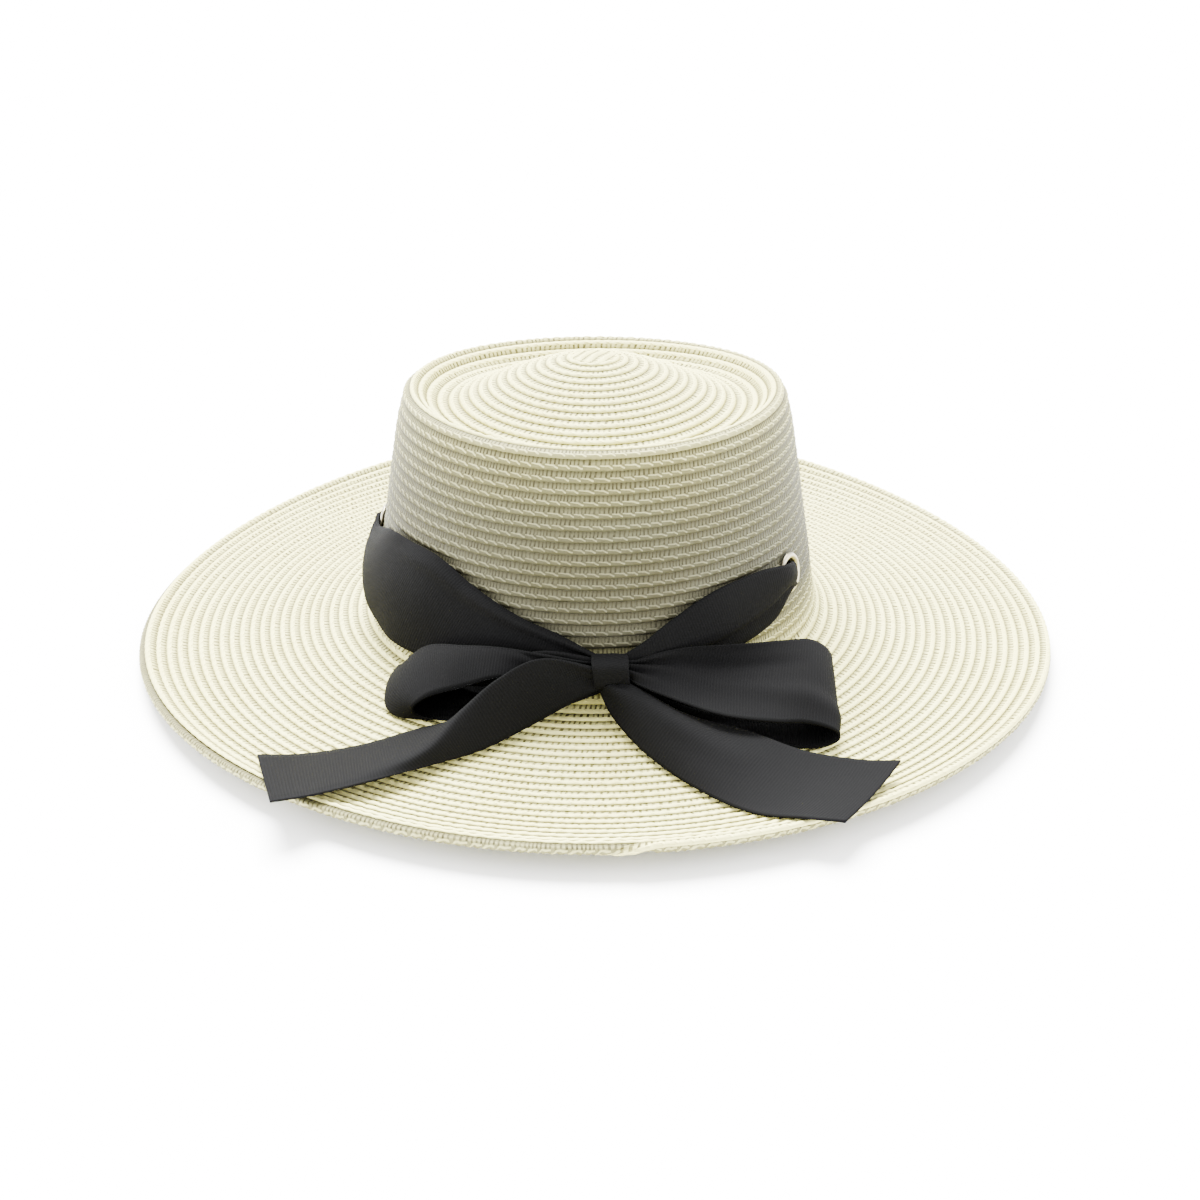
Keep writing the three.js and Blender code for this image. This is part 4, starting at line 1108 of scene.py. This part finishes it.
class BOATER_OT_braid(bpy.types.Operator):
    """Winds the braid of the crown and the brim in one spiral, kept as separate stretches"""

    bl_idname = "boater.braid"
    bl_label = "Crown and brim braid"

    def execute(self, context):
        braid = context.scene.boater_braid
        hat = hat_line(braid.pitch_tip / MM, braid.pitch_side / MM, braid.pitch_brim / MM)
        corner = hat["rows"][EDGE_CORNER_ROW]
        end = corner + EDGE_LAST_COURSE
        step = braid.step / MM
        sizes = {"loop": braid.loop_length / MM, "depth": braid.loop_depth / MM}
        spiral = braid_path(hat, end, step)
        points = braid_points(hat, spiral, sizes)
        material = shared_material("sewn_straw_braid", straw_material, braid)
        crest, base = hat["rows"][CREST_ROW], hat["rows"][BASE_ROW]
        # Steepness weight along the spiral: it sets the side pattern and how much painted shade the straw's
        # colour takes
        steep = np.interp(spiral["course"], hat["rows"][list(STEEP_SHADE_ROWS)], list(STEEP_SHADE_ROWS.values()))
        parts = (base + (end - base) * share for share in BRIM_STRETCHES)
        bounds = (0.0, crest, (crest + base) / 2, base, *parts, math.inf)
        for (name, node), limits in zip(STRETCHES, zip(bounds, bounds[1:])):
            start, stop = np.searchsorted(spiral["course"], limits)
            part = slice(start, stop + 1)
            braid_strip(name, points[part], spiral["along"][part], steep[part], material, node)
        side = edge_path(hat, corner + EDGE_SIDE_START, step)
        # Half the steepness weight on the edge's round: half the painted side shade
        upright_and_shade = np.full_like(side["along"], EDGE_SIDE_STEEP_SHADE)
        knobbly = {"loop": sizes["loop"] * EDGE_KNOB_LENGTH, "depth": sizes["depth"] * EDGE_KNOB_DEPTH}
        points = braid_points(hat, side, knobbly)
        braid_strip("brim_edge_side", points, side["along"], upright_and_shade, material, "brim")
        points, values = tip_fold(hat, TIP_FOLD_RADIUS)
        quads = grid_quads(*points.shape[:2])
        piece = add_piece("crown_tip_fold", points, quads, values, material)
        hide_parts("crown")
        return {"FINISHED"}


class BOATER_OT_eyelets(bpy.types.Operator):
    """Turns the two flanged eyelets with rolled lips"""

    bl_idname = "boater.eyelets"
    bl_label = "Eyelets"

    def execute(self, context):
        material = shared_material("satin_eyelet", eyelet_material, context.scene.boater_ribbon)
        outside, inside = EYELET_STANDOFF, -STRAW_THICKNESS - EYELET_STANDOFF
        roll = np.linspace(0, math.pi, EYELET_ROLL_POINTS)
        middle = (EYELET_BORE + EYELET_FLANGE) / 2
        half = (EYELET_FLANGE - EYELET_BORE) / 2
        outer_lip = np.stack((middle + half * np.cos(roll), outside + EYELET_LIP * np.sin(roll)), -1)
        inner_lip = np.stack((middle - half * np.cos(roll), inside - EYELET_LIP * np.sin(roll)), -1)
        throat = np.array(((EYELET_THROAT, inside), (EYELET_THROAT, outside)))
        profile = np.concatenate((outer_lip, inner_lip, throat))
        radius, height = profile.T[:, :, None, None]
        angle = full_turn(EYELET_TURNS)[:, None]
        quads = grid_quads(len(profile) + 1, EYELET_TURNS) % (len(profile) * EYELET_TURNS)
        for side in EYELET_BEARINGS:
            eyelet = eyelet_frame(side)
            spoke = np.cos(angle) * eyelet["back"] + np.sin(angle) * eyelet["up"]
            rings = eyelet["place"] + radius * spoke + height * eyelet["axis"]
            piece = add_piece(f"eyelet_{side}_ring", rings, quads, {}, material)
            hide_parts(f"eyelet_{side}")
        return {"FINISHED"}


class BOATER_OT_straps(bpy.types.Operator):
    """Lays the two straps from the eyelets to the knot and the band inside the crown"""

    bl_idname = "boater.straps"
    bl_label = "Ribbon straps"

    def execute(self, context):
        left = [*strap_neck("left", False), *STRAP_LEFT_ROWS]
        right = [*strap_neck("right", True), *STRAP_RIGHT_ROWS]
        band = inside_rows(context.scene.boater_ribbon.width / MM)
        ribbon_piece("ribbon_left", left, SOFT, STRAP_LEFT_PLEATS, STRAP_LEFT_RIDGES)
        ribbon_piece("ribbon_right", right, FOLDED)
        ribbon_piece("ribbon_inside", band, SOFT, INSIDE_PLEATS)
        return {"FINISHED"}


class BOATER_OT_loops(bpy.types.Operator):
    """Shapes the two loops of the bow"""

    bl_idname = "boater.loops"
    bl_label = "Bow loops"

    def execute(self, context):
        for side, rows, pleats, ridges in (
            ("left", LOOP_LEFT_ROWS, LOOP_LEFT_PLEATS, ()),
            ("right", LOOP_RIGHT_ROWS, LOOP_RIGHT_PLEATS, LOOP_RIGHT_RIDGES),
        ):
            ribbon_piece(f"bow_loop_{side}", rows, SOFT, pleats, ridges)
        return {"FINISHED"}


class BOATER_OT_tails(bpy.types.Operator):
    """Lays the two tails of the bow out over the brim"""

    bl_idname = "boater.tails"
    bl_label = "Bow tails"

    def execute(self, context):
        ribbon_piece("bow_tail_left", TAIL_LEFT_ROWS, CREASED, TAIL_PLEATS)
        ribbon_piece("bow_tail_right", TAIL_RIGHT_ROWS, SOFT, TAIL_PLEATS, TAIL_RIGHT_RIDGES)
        return {"FINISHED"}


class BOATER_OT_knot(bpy.types.Operator):
    """Wraps the knot: a band round the waist of the bow, with soft sides and a tuck at its lower corner"""

    bl_idname = "boater.knot"
    bl_label = "Bow knot"

    def execute(self, context):
        material = shared_material("ribbed_ribbon", ribbon_material, context.scene.boater_ribbon)
        width, scale = np.array(KNOT_ROWS).T[:, :, None]
        turn = full_turn(KNOT_TURNS)
        cos, sin = np.cos(turn), np.sin(turn)
        forward = -np.sign(cos) * np.abs(cos) ** KNOT_SQUARENESS
        upward = np.sign(sin) * np.abs(sin) ** KNOT_SQUARENESS
        tuck = bell(width - KNOT_TUCK_PLACE, KNOT_TUCK_WIDTH) * bell(turn - KNOT_TUCK_TURN, KNOT_TUCK_SPREAD)
        size = scale - KNOT_TUCK_DEPTH * tuck
        x = KNOT_CENTRE[0] + width - KNOT_LEAN * sin * (scale > KNOT_LEAN_FROM)
        y = KNOT_CENTRE[1] + KNOT_HALF_DEPTH * size * forward
        z = KNOT_CENTRE[2] + KNOT_HALF_HEIGHT * size * upward
        values = {
            "along": KNOT_GIRTH_RADIUS * turn + KNOT_WINDING * width,
            "across": np.linspace(*KNOT_ACROSS, len(width))[:, None],
        }
        points = np.stack((x, y, z), -1)
        quads = grid_quads(*points.shape[:2])
        piece = add_piece("bow_knot_wrap", points, quads, values, material)
        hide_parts("bow_knot")
        return {"FINISHED"}


class BOATER_OT_stage(bpy.types.Operator):
    """Sets the floor, the light and the camera"""

    bl_idname = "boater.stage"
    bl_label = "Floor, light and camera"

    def execute(self, context):
        stage = context.scene.boater_stage
        link = context.scene.collection.objects.link
        mesh = bpy.data.meshes.new("floor")
        corners = [(FLOOR_HALF * x, FLOOR_HALF * y, 0.0) for x, y in ((-1, -1), (1, -1), (1, 1), (-1, 1))]
        mesh.from_pydata(corners, [], [(0, 1, 2, 3)])
        floor = bpy.data.objects.new("floor", mesh)
        link(floor)
        finish = NodeSheet(bpy.data.materials.new("floor"))
        finish.paint("Base Color", rgba(stage.floor))
        finish.paint("Roughness", FLOOR_ROUGHNESS)
        mesh.materials.append(finish.owner)
        sky = NodeSheet(bpy.data.worlds.new("studio"), "Background")
        direction = sky.node("ShaderNodeTexCoord").outputs["Generated"]
        facing = sky.node("ShaderNodeVectorMath", {0: direction, 1: SKY_DIRECTION}, operation="DOT_PRODUCT")
        levels = (facing.outputs["Value"], *SKY_RANGE, stage.sky_front, stage.sky_back)
        ahead = sky.node("ShaderNodeMapRange", dict(enumerate(levels))).outputs[0]
        sideways = sky.node("ShaderNodeSeparateXYZ", {0: direction}).outputs["X"]
        aside = sky.math("POWER", sideways, SKY_SIDE_POWER)
        sky.paint("Strength", sky.scaled(aside, stage.sky_sides, ahead))
        sky.paint("Color", WHITE)
        context.scene.world = sky.owner
        light = bpy.data.lights.new("overhead", "SUN")
        light.energy = stage.overhead
        light.angle = OVERHEAD_SPREAD
        lamp = bpy.data.objects.new("overhead", light)
        lamp.location = (0.0, 0.0, OVERHEAD_HEIGHT)
        lamp.rotation_euler = OVERHEAD_TURN
        link(lamp)
        camera = bpy.data.cameras.new("view")
        camera.lens = stage.lens
        camera.sensor_width = CAMERA_SENSOR
        camera.clip_start = CAMERA_CLIP
        eye = bpy.data.objects.new("view", camera)
        rise = math.radians(CAMERA_RISE)
        back = np.array((0.0, -math.cos(rise), math.sin(rise)))
        eye.location = (np.array(CAMERA_TARGET) + CAMERA_DISTANCE * back) * MM
        eye.rotation_euler = (math.pi / 2 - rise, 0.0, 0.0)
        link(eye)
        context.scene.camera = eye
        return {"FINISHED"}


class BOATER_PT_panel(bpy.types.Panel):
    """Lists the steps that build the hat"""

    bl_label = "Straw boater"
    bl_space_type = "VIEW_3D"
    bl_region_type = "UI"
    bl_category = "Boater"

    def draw(self, context):
        for step in STEPS:
            self.layout.operator(step.bl_idname, text=step.bl_label)
        for group in (context.scene.boater_braid, context.scene.boater_ribbon, context.scene.boater_stage):
            box = self.layout.box()
            for name in group.__annotations__:
                box.prop(group, name)


GROUPS = {"boater_braid": BoaterBraid, "boater_ribbon": BoaterRibbon, "boater_stage": BoaterStage}
STEPS = (
    BOATER_OT_braid,
    BOATER_OT_eyelets,
    BOATER_OT_straps,
    BOATER_OT_loops,
    BOATER_OT_tails,
    BOATER_OT_knot,
    BOATER_OT_stage,
)


def register():
    """Registers the classes and hangs the property groups on the scene."""
    for group in (*GROUPS.values(), *STEPS, BOATER_PT_panel):
        bpy.utils.register_class(group)
    for name, group in GROUPS.items():
        setattr(bpy.types.Scene, name, bpy.props.PointerProperty(type=group))


def unregister():
    """Takes back what register did."""
    for name in GROUPS:
        delattr(bpy.types.Scene, name)
    for group in reversed((*GROUPS.values(), *STEPS, BOATER_PT_panel)):
        bpy.utils.unregister_class(group)


def main():
    """Builds the hat step by step."""
    register()
    bpy.ops.boater.braid()
    bpy.ops.boater.eyelets()
    bpy.ops.boater.straps()
    bpy.ops.boater.loops()
    bpy.ops.boater.tails()
    bpy.ops.boater.knot()
    bpy.ops.boater.stage()


if __name__ == "__main__":
    main()
